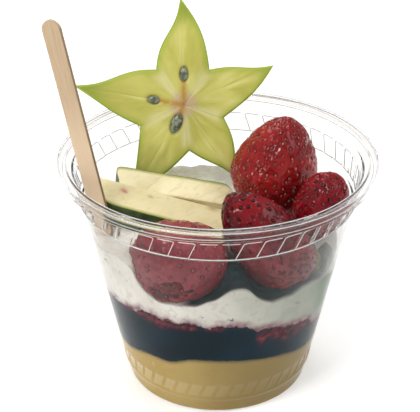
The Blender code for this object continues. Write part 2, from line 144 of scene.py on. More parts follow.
def ripples(points, wavelength, seed, waves=14):
    """Sum of plane waves sin(2 pi p.d / wavelength + phase) in random directions d, about -1 to 1."""
    draw = np.random.default_rng(seed)
    ways = draw.normal(size=(waves, 3))
    ways /= np.linalg.norm(ways, axis=1, keepdims=True)
    lengths = wavelength * draw.uniform(0.75, 1.35, waves)
    phases = draw.uniform(0, 2 * math.pi, waves)
    total = np.zeros(points.shape[:-1])
    for way, length, phase in zip(ways, lengths, phases):
        total += np.sin(points @ way * (2 * math.pi / length) + phase)
    return total / math.sqrt(2 * waves)


def squarish_loop(count, power):
    """Points at equal distances along |u|^power + |v|^power = 1, a circle at 2 and a box far above."""
    turn = np.linspace(0, 2 * math.pi, 4001)
    u = np.sign(np.cos(turn)) * np.abs(np.cos(turn)) ** (2 / power)
    v = np.sign(np.sin(turn)) * np.abs(np.sin(turn)) ** (2 / power)
    way = np.concatenate([[0], np.cumsum(np.hypot(np.diff(u), np.diff(v)))])
    stops = np.arange(count) / count * way[-1]
    return np.interp(stops, way, u), np.interp(stops, way, v)


def spots(degrees, height, places):
    """Sum of round spots exp(-d^2) on the wall: angle, height, half width in degrees, half height."""
    total = np.zeros(np.broadcast(degrees, height).shape)
    for angle, level_height, wide, tall in places:
        turn = (degrees - angle + 180) % 360 - 180
        total += np.exp(-((turn / wide) ** 2) - ((height - level_height) / tall) ** 2)
    return np.clip(total, 0, 1)


def unit(vector):
    vector = np.asarray(vector, float)
    return vector / np.linalg.norm(vector)


def turned(axis_x, axis_z):
    """The turn whose third column is along axis_z and whose first is as near as can be to axis_x."""
    z = unit(axis_z)
    x = np.asarray(axis_x, float)
    x = unit(x - z * x.dot(z))
    return np.stack([x, np.cross(z, x), z], -1)


# %% [markdown]
# ## Materials
# A colour is written as the eye sees it, in sRGB hex, and one function turns it to linear light. One
# small function adds any node with its settings and links. Patterns are sized in millimetres: a noise
# whose features are s mm wide has the scale 1000 / s, because the model is in metres.

# %% Colour and node helpers
def linear(code):
    """sRGB hex to linear: v / 12.92 below 0.04045, else ((v + 0.055) / 1.055)^2.4."""
    values = [int(code[start:start + 2], 16) / 255 for start in (1, 3, 5)]
    return (*[v / 12.92 if v < 0.04045 else ((v + 0.055) / 1.055) ** 2.4 for v in values], 1.0)


def add_node(tree, kind, settings=None, inputs=None):
    """Adds a node, sets its properties, and fills or links its sockets."""
    made = tree.nodes.new(kind)
    for name, value in (settings or {}).items():
        setattr(made, name, value)
    for socket, value in (inputs or {}).items():
        target = made.inputs[socket]
        if isinstance(value, bpy.types.NodeSocket):
            tree.links.new(value, target)
        else:
            target.default_value = value
    return made


def new_surface(name, **sockets):
    """A material whose Principled shader has the given constants, with the place on the object."""
    made = bpy.data.materials.new(name)
    made.use_nodes = True
    tree = made.node_tree
    shader = tree.nodes["Principled BSDF"]
    for socket, value in sockets.items():
        shader.inputs[socket.replace("_", " ")].default_value = value
    place = add_node(tree, "ShaderNodeTexCoord").outputs["Object"]
    return made, tree, shader, place


def noise(tree, place, size_mm, detail=3.0, distortion=0.0):
    return add_node(
        tree, "ShaderNodeTexNoise", {},
        {"Vector": place, "Scale": 1000 / size_mm, "Detail": detail, "Distortion": distortion},
    ).outputs["Fac"]


def ranged(tree, value, low, high, to_low=0.0, to_high=1.0):
    return add_node(
        tree, "ShaderNodeMapRange", {"interpolation_type": "SMOOTHSTEP"},
        {"Value": value, "From Min": low, "From Max": high, "To Min": to_low, "To Max": to_high},
    ).outputs["Result"]


def mixed(tree, share, first, second):
    return add_node(
        tree, "ShaderNodeMix", {"data_type": "RGBA"}, {0: share, 6: first, 7: second},
    ).outputs[2]


def product(tree, first, second):
    return add_node(tree, "ShaderNodeMath", {"operation": "MULTIPLY"}, {0: first, 1: second}).outputs[0]


def bumped(tree, shader, height, distance_mm, strength=1.0):
    bump = add_node(
        tree, "ShaderNodeBump", {},
        {"Height": height, "Distance": distance_mm * MM, "Strength": strength},
    )
    tree.links.new(bump.outputs["Normal"], shader.inputs["Normal"])


def carried(tree, name):
    return add_node(tree, "ShaderNodeAttribute", {"attribute_name": name}).outputs["Fac"]


def paint(tree, shader, colour):
    tree.links.new(colour, shader.inputs["Base Color"])


# %% [markdown]
# ## The cup
# The cup is thermoformed from a clear sheet of PET. Its wall is a cone with a small step at the foot
# and at the shoulder, and two bands of slanted windows are pressed into it. The rim is rolled over.
# A profile is turned round the axis. The columns lean with the windows, so that the pressed edges
# follow the grid and stay sharp.

# %% Sizes of the cup, in metres
CUP_HEIGHT = 0.0758
WALL = 0.0007
FLOOR = 0.0009
CONE_RADIUS_AT_BASE = 0.0293
WALL_SLOPE = 0.2013
BASE_EDGE_RADIUS = 0.0012
FOOT_HEIGHT, FOOT_STEP = 0.0054, 0.0004
SHOULDER_HEIGHT, SHOULDER_STEP = 0.0634, 0.0007
STEP_RISE = 0.0005
RIM_RADIUS, RIM_INNER_RADIUS, RIM_DEPTH = 0.0488, 0.0457, 0.0028
WINDOW_COUNT, WINDOW_SHARE = 45, 0.80
WINDOW_LEAN = math.radians(3.0)
WINDOW_DEPTH = 0.00014
WINDOW_BANDS = ((0.0069, 0.0120), (0.0642, 0.0697))
PRESS_SLOPE = 0.00022


def outer_radius(height):
    """Base radius plus slope times height, less the foot's step below it, plus the shoulder's above."""
    foot = 1 - smooth(height, FOOT_HEIGHT - STEP_RISE, FOOT_HEIGHT + STEP_RISE)
    shoulder = smooth(height, SHOULDER_HEIGHT - STEP_RISE, SHOULDER_HEIGHT + STEP_RISE)
    return CONE_RADIUS_AT_BASE + WALL_SLOPE * height - FOOT_STEP * foot + SHOULDER_STEP * shoulder


def inner_radius(height):
    return outer_radius(height) - WALL


def lean_at(height):
    """The turn of a column at a height: it leans across each band, and back between them."""
    (low, high), (upper_low, upper_high) = WINDOW_BANDS
    return np.interp(height, (low, high, upper_low, upper_high), (0, WINDOW_LEAN, 0, WINDOW_LEAN))


def cut_corners(path, times):
    """Chaikin's rule: each corner is replaced by the points a quarter of the way along its two sides."""
    for _ in range(times):
        near = path[:-1] * 0.75 + path[1:] * 0.25
        far = path[:-1] * 0.25 + path[1:] * 0.75
        middle = np.stack([near, far], 1).reshape(-1, 2)
        path = np.concatenate([path[:1], middle, path[-1:]])
    return path


# %% The cup's wall, floor and rolled rim
def cup_rows():
    """Radius and height of each row of the turned profile, from inside floor to outside floor."""
    under_rim = CUP_HEIGHT - RIM_DEPTH
    lines = [FLOOR + BASE_EDGE_RADIUS, under_rim]
    lines += list(np.linspace(0.0030, under_rim - 0.0006, 22))
    for low, high in WINDOW_BANDS:
        for edge in (low, high):
            lines += [edge - PRESS_SLOPE, edge, edge + PRESS_SLOPE]
    for step in (FOOT_HEIGHT, SHOULDER_HEIGHT):
        lines += list(np.linspace(step - STEP_RISE, step + STEP_RISE, 5))
    heights = np.unique(np.round(lines, 6))
    floor_edge = inner_radius(FLOOR) - BASE_EDGE_RADIUS
    corner = cut_corners(np.array([
        (floor_edge - 0.0008, FLOOR), (floor_edge + 0.0009, FLOOR), (inner_radius(FLOOR + 0.0011), FLOOR + 0.0011),
    ]), 2)
    middle = np.stack([np.linspace(0.002, floor_edge - 0.0014, 5), np.full(5, FLOOR)], -1)
    inside = np.stack([inner_radius(heights), heights], -1)
    roll = cut_corners(np.array([
        (float(inner_radius(under_rim)), under_rim), (0.0450, 0.0740), (RIM_INNER_RADIUS, 0.0750),
        (0.0461, CUP_HEIGHT), (0.0486, CUP_HEIGHT), (RIM_RADIUS, 0.0753), (RIM_RADIUS, 0.0731),
        (0.0484, 0.0730), (0.0483, 0.0748), (0.0478, 0.0751), (0.0465, 0.0751), (0.0461, 0.0745),
        (float(outer_radius(under_rim)), under_rim),
    ]), 2)
    outside = np.stack([outer_radius(heights), heights], -1)[::-1]
    base = cut_corners(np.array([
        (outer_radius(0.0012), 0.0012), (outer_radius(0.0) - 0.0001, 0.0), (outer_radius(0.0) - 0.0016, 0.0),
    ]), 2)
    under = np.stack([np.linspace(outer_radius(0.0) - 0.0022, 0.002, 5), np.zeros(5)], -1)
    return np.concatenate([middle, corner, inside, roll[1:-1], outside, base, under])


def press_across():
    """Columns of one pitch, as shares of it, and how far each lies in the window, 0 to 1."""
    edge = (1 - WINDOW_SHARE) / 2
    soft = 0.035
    shares = (0.0, edge - soft, edge, edge + soft, 0.24, 0.37, 0.5, 0.63, 0.76)
    shares += (1 - edge - soft, 1 - edge, 1 - edge + soft)
    return np.array(shares), smooth(np.array(shares), edge - soft, edge + soft) * (
        1 - smooth(np.array(shares), 1 - edge - soft, 1 - edge + soft)
    )


def press_along(height):
    """How far a height lies in one of the bands, 0 to 1."""
    total = np.zeros(np.shape(height))
    for low, high in WINDOW_BANDS:
        total += smooth(height, low - PRESS_SLOPE, low + PRESS_SLOPE) * (
            1 - smooth(height, high - PRESS_SLOPE, high + PRESS_SLOPE)
        )
    return total


def make_cup_mesh():
    """Point = ((r - d) cos t, (r - d) sin t, z), where d is the pressed depth and t leans with z."""
    rows = cup_rows()
    shares, across = press_across()
    pitch = 2 * math.pi / WINDOW_COUNT
    starts = np.arange(WINDOW_COUNT)[:, None]
    angles = ((starts + shares[None, :] - 0.5) * pitch).ravel()
    across = np.tile(across, WINDOW_COUNT)
    radius, height = rows[:, :1], rows[:, 1:]
    on_wall = np.abs(radius - outer_radius(height)) < WALL * 1.05
    depth = WINDOW_DEPTH * press_along(height) * on_wall * across[None, :]
    turn = angles[None, :] + lean_at(height)
    x, y = (radius - depth) * np.cos(turn), (radius - depth) * np.sin(turn)
    return closed_mesh("cup_wall", np.stack([x, y, np.broadcast_to(height, x.shape)], -1))


# PET sheet: clear and glossy, with a faint haze of fine scuffs. Its own index is 1.57, and a lower one
# gives the thin, weak reflections of the real cup.
clear_pet, tree, shader, place = new_surface(
    "thermoformed_clear_pet", Roughness=0.03, IOR=1.20, Transmission_Weight=1.0,
)
scuffs = noise(tree, place, 9.0, 4.0)
paint(tree, shader, mixed(tree, scuffs, linear("#f6f4f2"), linear("#f0eeec")))
tree.links.new(ranged(tree, scuffs, 0.35, 0.75, 0.02, 0.08), shader.inputs["Roughness"])
add_piece(make_cup_mesh(), clear_pet, ["cup"])

# %% [markdown]
# ## Bright pressed edges
# Where the sheet bends sharply round a window, its edge gathers the light and shows as a thin white
# line: the top edge of each window of the upper band, the side edge nearer to the viewer, the ring
# under the band, and three rings on the rim.
# A fine milky bead is carried along each of these lines as a painted highlight.

# %% Beads along the window edges, as painted highlights
BEAD_RADIUS = 0.00012
BEAD_SIDES = 6
# Radius and height of the rings where the rim's roll bends.
RIM_LINES = ((0.0460, 0.0757), (0.0485, 0.0757), (0.0472, 0.0731))


def tube(path, radius):
    """Rows of a ring of points round each point of a path, in the plane of its normal and the axis."""
    along = np.gradient(path, axis=0)
    along /= np.linalg.norm(along, axis=1, keepdims=True)
    out = path * (1, 1, 0)
    out /= np.linalg.norm(out, axis=1, keepdims=True)
    side = np.cross(along, out)
    side /= np.linalg.norm(side, axis=1, keepdims=True)
    turn = np.arange(BEAD_SIDES) * 2 * math.pi / BEAD_SIDES
    ring = np.cos(turn)[None, :, None] * out[:, None] + np.sin(turn)[None, :, None] * side[:, None]
    return path[:, None] + ring * radius


def on_wall(angle, height, lift=0.0):
    """The point on the outer wall at an angle, leaning with the columns, and a height."""
    radius = outer_radius(height) + lift
    turn = angle + lean_at(height)
    return np.stack([radius * np.cos(turn), radius * np.sin(turn), height + 0 * turn], -1)


def join(meshes, name):
    """One mesh of several, made by placing their points and faces one after another."""
    whole = bpy.data.meshes.new(name)
    points, faces, offset = [], [], 0
    for mesh in meshes:
        flat = np.empty(len(mesh.vertices) * 3, np.float32)
        mesh.vertices.foreach_get("co", flat)
        points.append(flat.reshape(-1, 3))
        faces += [tuple(index + offset for index in face.vertices) for face in mesh.polygons]
        offset += len(mesh.vertices)
    whole.from_pydata(np.concatenate(points), [], faces)
    whole.shade_smooth()
    return whole


# Painted highlights: beads on the edges that catch the light, the side edge chosen by which side faces the viewer.
def window_glint_lines():
    pitch = 2 * math.pi / WINDOW_COUNT
    edge = WINDOW_SHARE / 2 * pitch
    low, high = WINDOW_BANDS[1]
    beads = []
    for index in range(WINDOW_COUNT):
        middle = index * pitch
        facing = math.cos(middle + WINDOW_LEAN) * math.sin(middle + WINDOW_LEAN)
        side = edge if facing > 0 else -edge
        top = on_wall(np.linspace(middle + side, middle - side, 7), np.full(7, high))
        path = top
        if abs(facing) > 0.16:
            rise = on_wall(np.full(9, middle + side), np.linspace(low, high - 0.0003, 9))
            path = np.concatenate([rise, top[1:]])
        beads.append(closed_mesh("bead", tube(path, BEAD_RADIUS)))
    around = np.linspace(0, 2 * math.pi, 361)
    beads.append(closed_mesh("bead", tube(on_wall(around, np.full(361, low - 0.0002)), BEAD_RADIUS)))
    for radius, height in RIM_LINES:
        ring = np.stack([radius * np.cos(around), radius * np.sin(around), np.full(361, height)], -1)
        beads.append(closed_mesh("bead", tube(ring, BEAD_RADIUS)))
    return join(beads, "cup_window_edge_glints")


# Painted highlight: the same PET, milky white, stands in for the glint of light on each sharp bend.
painted_edge_glint, tree, shader, place = new_surface("painted_glint_on_pet_bends", Roughness=0.25, IOR=1.5, Alpha=0.75)
paint(tree, shader, mixed(tree, noise(tree, place, 2.0), linear("#ffffff"), linear("#dfe2e0")))
add_piece(window_glint_lines(), painted_edge_glint)

# %% [markdown]
# ## The three layers
# Custard, berry jelly and whipped cream were spooned in one after another, so each boundary is wavy.
# A layer is a height that depends on the angle and on the share of the way to the wall. Its side
# reaches just into the wall, because wet food touches the plastic without any air between.

# %% Heights of the layers
CUSTARD_LEVEL = (
    (-150, 0.0177), (-129, 0.0204), (-115, 0.0205), (-103, 0.0232), (-78, 0.0230), (-54, 0.0210),
    (-31, 0.0182), (20, 0.0195), (80, 0.0215), (140, 0.0190),
)
JELLY_LEVEL = (
    (-148, 0.0357), (-128, 0.0379), (-100, 0.0376), (-79, 0.0369), (-67, 0.0344), (-44, 0.0315),
    (-25, 0.0267), (20, 0.0290), (80, 0.0335), (150, 0.0345),
)
CREAM_LEVEL = (
    (-148, 0.0545), (-138, 0.0560), (-130, 0.0545), (-126, 0.0486), (-120, 0.0452), (-107, 0.0442),
    (-93, 0.0468), (-81, 0.0519), (-68, 0.0454), (-61, 0.0444), (-48, 0.0462), (-38, 0.0458),
    (-22, 0.0440), (20, 0.0480), (80, 0.0510), (150, 0.0540),
)
CUSTARD_MIDDLE, JELLY_MIDDLE, CREAM_MIDDLE = 0.0208, 0.0330, 0.0530
CREAM_BUMP = 0.0012
CREAM_FALL_AT_BACK, CREAM_FALL_AT_FRONT = 2.0, 0.7
INTO_WALL = 0.00045
LAYER_COLUMNS = 420


def level(levels, degrees):
    """Cubic Hermite curve through the levels round the cup, with slopes from each pair of neighbours."""
    angles = np.array([angle for angle, _ in levels], float)
    heights = np.array([height for _, height in levels])
    spans = (np.roll(angles, -1) - angles) % 360
    slopes = (np.roll(heights, -1) - np.roll(heights, 1)) / (np.roll(spans, 1) + spans)
    starts = np.concatenate([[0], np.cumsum(spans)])
    turn = (degrees - angles[0]) % 360
    index = np.clip(np.searchsorted(starts, turn, side="right") - 1, 0, len(levels) - 1)
    after = (index + 1) % len(levels)
    span = spans[index]
    t = (turn - starts[index]) / span
    return (
        (2 * t**3 - 3 * t**2 + 1) * heights[index] + (t**3 - 2 * t**2 + t) * span * slopes[index]
        + (3 * t**2 - 2 * t**3) * heights[after] + (t**3 - t**2) * span * slopes[after]
    )


def custard_top(degrees, share):
    return CUSTARD_MIDDLE + (level(CUSTARD_LEVEL, degrees) - CUSTARD_MIDDLE) * share**2


def jelly_top(degrees, share):
    """The level at the wall, with the small unevenness that the spooned cream pressed into it."""
    turn = np.radians(degrees)
    uneven = 0.40 * np.sin(17 * turn + 1) + 0.30 * np.sin(29 * turn + 2.4) + 0.22 * np.sin(47 * turn)
    at_wall = level(JELLY_LEVEL, degrees) + uneven * MM
    return JELLY_MIDDLE + (at_wall - JELLY_MIDDLE) * share**2


def cream_top(degrees, share):
    """Mounds 3t + 5s and 5t - 8s on a dish that falls to the wall, sooner at the front."""
    turn = np.radians(degrees)
    mound = np.sin(3 * turn + 5 * share) + 0.6 * np.cos(5 * turn - 8 * share)
    frontness = (1 - np.sin(turn)) / 2
    power = CREAM_FALL_AT_BACK + (CREAM_FALL_AT_FRONT - CREAM_FALL_AT_BACK) * frontness
    base = CREAM_MIDDLE + (level(CREAM_LEVEL, degrees) - CREAM_MIDDLE) * share**power
    return base + CREAM_BUMP * mound * share * (1 - share**4)


def layer_rows(under, over, rings, sides):
    """Rows over the top from the middle to the wall, down the side, and back under to the middle."""
    degrees = np.arange(LAYER_COLUMNS) * 360 / LAYER_COLUMNS
    turn = np.radians(degrees)
    shares = np.linspace(0.02, 1, rings)[:, None]
    top, bottom = over(degrees[None], shares), under(degrees[None], shares)
    drop = np.linspace(0, 1, sides)[1:-1, None]
    side = top[-1:] * (1 - drop) + bottom[-1:] * drop
    height = np.concatenate([top, side, bottom[::-1]])
    share = np.concatenate([shares, np.ones((len(side), 1)), shares[::-1]])
    radius = share * (inner_radius(height) + INTO_WALL)
    return np.stack([radius * np.cos(turn), radius * np.sin(turn), height], -1)


# %% Custard: cooked egg and milk, smooth, wet against the wall, so it hardly shines through it
def make_custard():
    floor = lambda degrees, share: FLOOR - INTO_WALL + 0.0002 * share**16 + 0 * degrees
    rows = layer_rows(floor, custard_top, 20, 26)
    mesh = closed_mesh("custard_layer", rows)
    degrees = np.arange(LAYER_COLUMNS) * 360 / LAYER_COLUMNS
    keep(mesh, "below_top", (custard_top(degrees, 1.0)[None] - rows[..., 2]) / 0.010)
    return mesh


custard, tree, shader, place = new_surface(
    "cooked_custard", Roughness=0.4, IOR=1.4, Specular_IOR_Level=0.1,
)
cloudy = mixed(tree, ranged(tree, noise(tree, place, 16.0, 3.0), 0.3, 0.7), linear("#d8bd78"), linear("#ccae66"))
fine = mixed(tree, ranged(tree, noise(tree, place, 1.2, 4.0), 0.55, 0.8), cloudy, linear("#e3cb88"))
across = add_node(tree, "ShaderNodeSeparateXYZ", {}, {0: place})
shade_to_right = ranged(tree, across.outputs["X"], -0.026, 0.014)
# Painted highlight: the custard is painted paler in the squares of the pressed windows, one square for each turn of 8
# degrees.
turn = add_node(tree, "ShaderNodeMath", {"operation": "ARCTAN2"}, {0: across.outputs["Y"], 1: across.outputs["X"]}).outputs[0]
low, high = WINDOW_BANDS[0]
slant = ranged(tree, across.outputs["Z"], low, high, 0.0, -WINDOW_LEAN)
leaned = add_node(tree, "ShaderNodeMath", {"operation": "ADD"}, {0: turn, 1: slant}).outputs[0]
counted = add_node(
    tree, "ShaderNodeMath", {"operation": "MULTIPLY_ADD"}, {0: leaned, 1: WINDOW_COUNT / (2 * math.pi), 2: 100.0},
).outputs[0]
part = add_node(tree, "ShaderNodeMath", {"operation": "PINGPONG"}, {0: counted, 1: 0.5}).outputs[0]
in_band = product(
    tree, ranged(tree, across.outputs["Z"], low - 0.0003, low + 0.0006),
    ranged(tree, across.outputs["Z"], high + 0.0003, high - 0.0006),
)
window = product(tree, ranged(tree, part, 0.41, 0.30), in_band)
fine = mixed(tree, product(tree, window, 0.45), fine, linear("#f0dfae"))
# Painted shade: the custard is darker towards the right.
shaded = mixed(tree, product(tree, shade_to_right, 0.8), fine, linear("#8f7c4c"))
under_jelly = ranged(tree, carried(tree, "below_top"), 0.22, -0.02)
paint(tree, shader, mixed(tree, product(tree, under_jelly, 0.85), shaded, linear("#4b5249")))
bumped(tree, shader, noise(tree, place, 3.0, 3.0), 0.05)
add_piece(make_custard(), custard, ["custard"])

# %% Where red fruit shows on the jelly: angle, height, half width in degrees, half height
RED_FRUIT = (
    (-141, 0.0362, 6.0, 0.0014), (-128, 0.0366, 6.0, 0.0013), (-117, 0.0356, 6.5, 0.0022),
    (-105, 0.0362, 5.0, 0.0014), (-91, 0.0364, 4.0, 0.0010), (-68, 0.0310, 2.4, 0.0032),
    (-60, 0.0312, 5.5, 0.0026), (-51, 0.0294, 7.0, 0.0030), (-42, 0.0298, 6.0, 0.0022),
    (-27, 0.0258, 7.0, 0.0018), (15, 0.0278, 7.0, 0.0014), (70, 0.0320, 8.0, 0.0018),
    (118, 0.0332, 6.0, 0.0016), (160, 0.0335, 8.0, 0.0018),
)


# %% Jelly: nearly black berry juice with red fruit along its top
def make_jelly():
    under = lambda degrees, share: custard_top(degrees, share) - INTO_WALL
    rows = layer_rows(under, jelly_top, 16, 40)
    mesh = closed_mesh("jelly_layer", rows)
    degrees = np.arange(LAYER_COLUMNS) * 360 / LAYER_COLUMNS
    keep(mesh, "below_top", (jelly_top(degrees, 1.0)[None] - rows[..., 2]) / 0.010)
    keep(mesh, "red_fruit", spots(degrees[None], rows[..., 2], RED_FRUIT))
    return mesh


jelly, tree, shader, place = new_surface(
    "set_berry_jelly", Roughness=0.6, IOR=1.36, Specular_IOR_Level=0.04,
)
dark = mixed(tree, ranged(tree, noise(tree, place, 14.0, 3.0), 0.35, 0.7), linear("#06202a"), linear("#0d2c3a"))
across = add_node(tree, "ShaderNodeSeparateXYZ", {}, {0: place})
# Painted reflection: the jelly is lighter grey towards the left, for the wall's haze there.
dark = mixed(tree, ranged(tree, across.outputs["X"], -0.024, -0.034, 0.0, 0.6), dark, linear("#40414b"))
ragged = product(tree, carried(tree, "red_fruit"), ranged(tree, noise(tree, place, 3.0, 1.5), 0.25, 0.72, 0.4, 1.35))
seam = product(tree, ranged(tree, carried(tree, "below_top"), 0.20, 0.0), ranged(tree, noise(tree, place, 3.5, 2.0), 0.35, 0.65))
red = mixed(tree, ranged(tree, noise(tree, place, 1.3, 3.0), 0.35, 0.65), linear("#4c1622"), linear("#8a4148"))
dark = mixed(tree, product(tree, seam, 0.7), dark, linear("#4d2c3d"))
paint(tree, shader, mixed(tree, ranged(tree, ragged, 0.0, 1.15), dark, red))
add_piece(make_jelly(), jelly, ["berry_jelly"])

# %% Marks in the cream: grey flecks of juice, and a painted reflection of the green apple on the right side
JUICE_FLECKS = (
    (-148.4, 0.0506, 1.6, 0.0007), (-138.0, 0.0502, 1.5, 0.0004), (-134.3, 0.0477, 1.6, 0.0004),
    (-83.7, 0.0401, 1.8, 0.0006), (-50.5, 0.0408, 1.6, 0.0006), (-97.0, 0.0412, 1.0, 0.0004),
    (35.0, 0.0420, 1.8, 0.0006), (95.0, 0.0440, 1.5, 0.0005), (150.0, 0.0470, 1.8, 0.0006),
)
GREEN_APPLE_REFLECTION = ((-26, 0.0345, 9, 0.0055), (-30, 0.0440, 9, 0.0060), (-8, 0.0400, 12, 0.0060))


# %% Whipped cream: spooned, matt, stained by the jelly under it, with painted shade, dark teal, in the hollows between the berries
def make_cream():
    under = lambda degrees, share: jelly_top(degrees, share) - INTO_WALL
    rows = layer_rows(under, cream_top, 70, 30)
    degrees = np.arange(LAYER_COLUMNS) * 360 / LAYER_COLUMNS
    radius = np.linalg.norm(rows[..., :2], axis=-1)
    on_top = (np.arange(len(rows)) < 70)[:, None]
    inland = smooth(inner_radius(rows[..., 2]) - radius, -0.0003, 0.0035)
    relief = ripples(rows, 0.0080, 3) * 0.00045 + ripples(rows, 0.0030, 4) * 0.00020
    edge = 0.00025 * np.sin(np.radians(degrees) * 23 + 1) + 0.00018 * np.sin(np.radians(degrees) * 41)
    rows[..., 2] += (relief * inland + edge[None] * (1 - inland)) * on_top
    mesh = closed_mesh("whipped_cream_layer", rows)
    front = smooth(degrees, 250, 258) * (1 - smooth(degrees, 322, 342))
    from_wall = inner_radius(rows[..., 2]) - radius
    # Painted shade: dark teal on the cream's top near the front wall, in the hollows between the berries.
    keep(mesh, "painted_hollow_shade", on_top * smooth(from_wall, -0.0001, 0.0009) * (1 - smooth(radius, 0.018, 0.010)) * front[None])
    keep(mesh, "over_jelly", (rows[..., 2] - jelly_top(degrees, 1.0)[None]) / 0.010)
    keep(mesh, "fleck", spots(degrees[None], rows[..., 2], JUICE_FLECKS) * ~on_top)
    keep(mesh, "green", spots(degrees[None], rows[..., 2], GREEN_APPLE_REFLECTION) * ~on_top)
    return mesh


cream, tree, shader, place = new_surface(
    "whipped_cream", Roughness=0.5, IOR=1.4, Subsurface_Weight=0.1, Specular_IOR_Level=0.2,
)
shader.inputs["Subsurface Radius"].default_value = (0.003, 0.0025, 0.002)
shader.inputs["Subsurface Scale"].default_value = 1.0
white = mixed(tree, ranged(tree, noise(tree, place, 10.0, 4.0), 0.35, 0.7), linear("#fffcf3"), linear("#f1ede3"))
# Painted shade: grey in the folds of the cream.
shaded_folds = ranged(tree, noise(tree, place, 3.2, 4.0, 1.2), 0.50, 0.64)
white = mixed(tree, product(tree, shaded_folds, 0.30), white, linear("#c2beb4"))
across = add_node(tree, "ShaderNodeSeparateXYZ", {}, {0: place})
shade_to_right = ranged(tree, across.outputs["X"], -0.022, 0.034)
# Painted shade: the cream is greyer and darker towards the right.
white = mixed(tree, product(tree, shade_to_right, 0.76), white, linear("#929d8e"))
# Painted reflection: green of the apple peel on the cream's right side.
white = mixed(tree, product(tree, carried(tree, "green"), 0.85), white, linear("#5d7a5c"))
bleed = product(
    tree, ranged(tree, carried(tree, "over_jelly"), 0.34, 0.0),
    ranged(tree, noise(tree, place, 3.4, 2.0), 0.30, 0.66, 0.2, 1.0),
)
white = mixed(tree, bleed, white, linear("#8d5565"))
fleck = product(tree, carried(tree, "fleck"), ranged(tree, noise(tree, place, 0.8, 3.0), 0.35, 0.6))
white = mixed(tree, ranged(tree, fleck, 0.15, 0.6), white, linear("#75767a"))
# Painted shade: dark teal for the hollows between the berries.
painted_hollow_shade = mixed(tree, noise(tree, place, 4.0, 3.0), linear("#0f3034"), linear("#1f3236"))
paint(tree, shader, mixed(tree, carried(tree, "painted_hollow_shade"), white, painted_hollow_shade))
bumped(tree, shader, noise(tree, place, 1.6, 4.0), 0.2)
add_piece(make_cream(), cream, ["whipped_cream"])

# %% [markdown]
# ## Strawberries
# A strawberry is broad at the stalk and narrows to its tip. Its seeds sit in shallow pits, on a spiral
# that turns by the golden angle, with the flesh swelling between them. The flesh and its seeds are two
# pieces, because the seeds have a colour of their own.

# %% Sizes of the strawberries: centre, tip direction, width, halves, flatness, point, twist
STRAWBERRIES = {
    "strawberry_back": (
        (0.0176, 0.0100, 0.0634), (0.24, 0.05, 0.97), 0.0136, 0.0203, 0.0130, 0.96, 0.66, 0.3,
    ),
    "strawberry_right": (
        (0.0312, -0.0072, 0.0622), (0.42, 0.05, 0.88), 0.0082, 0.0114, 0.0110, 0.95, 0.55, 1.1,
    ),
    "strawberry_centre": (
        (0.0186, -0.0197, 0.0514), (-0.62, 0.08, 0.78), 0.0112, 0.0254, 0.0106, 0.94, 0.54, 2.0,
    ),
    "strawberry_left": (
        (-0.0113, -0.0218, 0.0510), (0.16, -0.87, -0.44), 0.0142, 0.0128, 0.0102, 1.07, 0.50, 0.0,
    ),
}
STALK_END_POWER = 0.45
BERRY_WAVE = 0.03
SEED_SPACING = 0.0022
PIT_RADIUS, PIT_DEPTH = 0.00096, 0.00050
BERRY_ROWS, BERRY_COLUMNS = 170, 260
GOLDEN_ANGLE = math.pi * (3 - math.sqrt(5))
PRESSED_BERRY = "strawberry_left"
PRESSED_SPREAD, PRESSED_SHIFT, NEIGHBOUR_WAY = 0.12, (0.0005, 0.0, 0.0), (0.62, 0.50, 0.60)
# The wet patch: angle, height, half width in degrees, half height, rise for each degree.
PRESSED_PATCH = (-113.5, 0.0488, 10.6, 0.0031, 0.00010)


def berry_points(polar, turn, sizes):
    """Width times (1 - a^2)^power at the share a = |cos polar|^1.1 of the way to either end."""
    centre, tip, width, tip_half, stalk_half, flatness, point, twist = sizes
    z = np.cos(polar)
    along = np.abs(z) ** 1.1
    power = np.where(z > 0, point, STALK_END_POWER)
    wave = 1 + BERRY_WAVE * (np.sin(3 * turn + twist) + np.sin(2 * turn - 4 * z + 5 * twist))
    reach = width * np.maximum(1 - along**2, 1e-9) ** power * wave
    height = along * np.where(z > 0, tip_half, -stalk_half)
    local = np.stack([reach * np.cos(turn), reach * np.sin(turn) * flatness, height], -1)
    offset = local @ turned((1, 0, 0.01), tip).T
    points = offset + np.array(centre)
    if sizes is STRAWBERRIES[PRESSED_BERRY]:
        points = points + offset * (PRESSED_SPREAD * free_side(offset))[..., None] + np.array(PRESSED_SHIFT)
        radius = np.linalg.norm(points[..., :2], axis=-1)
        flattened = np.minimum(1, (inner_radius(points[..., 2]) - 0.0001) / radius)
        points[..., :2] *= flattened[..., None]
    return points


def free_side(offset):
    """1 on the side of the berry away from its neighbour, where it spreads in the soft cream, else 0."""
    length = np.linalg.norm(offset, axis=-1)
    return smooth(-(offset @ unit(NEIGHBOUR_WAY)) / length, -0.9, 0.0)


def seed_places(sizes, seed):
    """Seeds a golden angle apart, down the berry in steps of equal area, a little out of place."""
    width, length = sizes[2], sizes[3] + sizes[4]
    count = int(2.0 * math.pi * width * length / SEED_SPACING**2 * 0.62)
    draw = np.random.default_rng(seed)
    step = (np.arange(count) + 0.5) / count
    polar = np.arccos(1 - 2 * step) + draw.normal(0, 0.02, count)
    turn = np.arange(count) * GOLDEN_ANGLE + draw.normal(0, 0.06, count)
    return np.clip(polar, 0.03, math.pi - 0.03), turn % (2 * math.pi)


def surface_frame(polar, turn, sizes):
    """The point, the outward normal and the direction towards the stalk at places on the berry."""
    step = 0.01
    here = berry_points(polar, turn, sizes)
    down = berry_points(polar + step, turn, sizes) - berry_points(polar - step, turn, sizes)
    round_it = berry_points(polar, turn + step, sizes) - berry_points(polar, turn - step, sizes)
    down /= np.linalg.norm(down, axis=-1, keepdims=True)
    out = np.cross(down, round_it)
    out /= np.linalg.norm(out, axis=-1, keepdims=True)
    return here, out, down


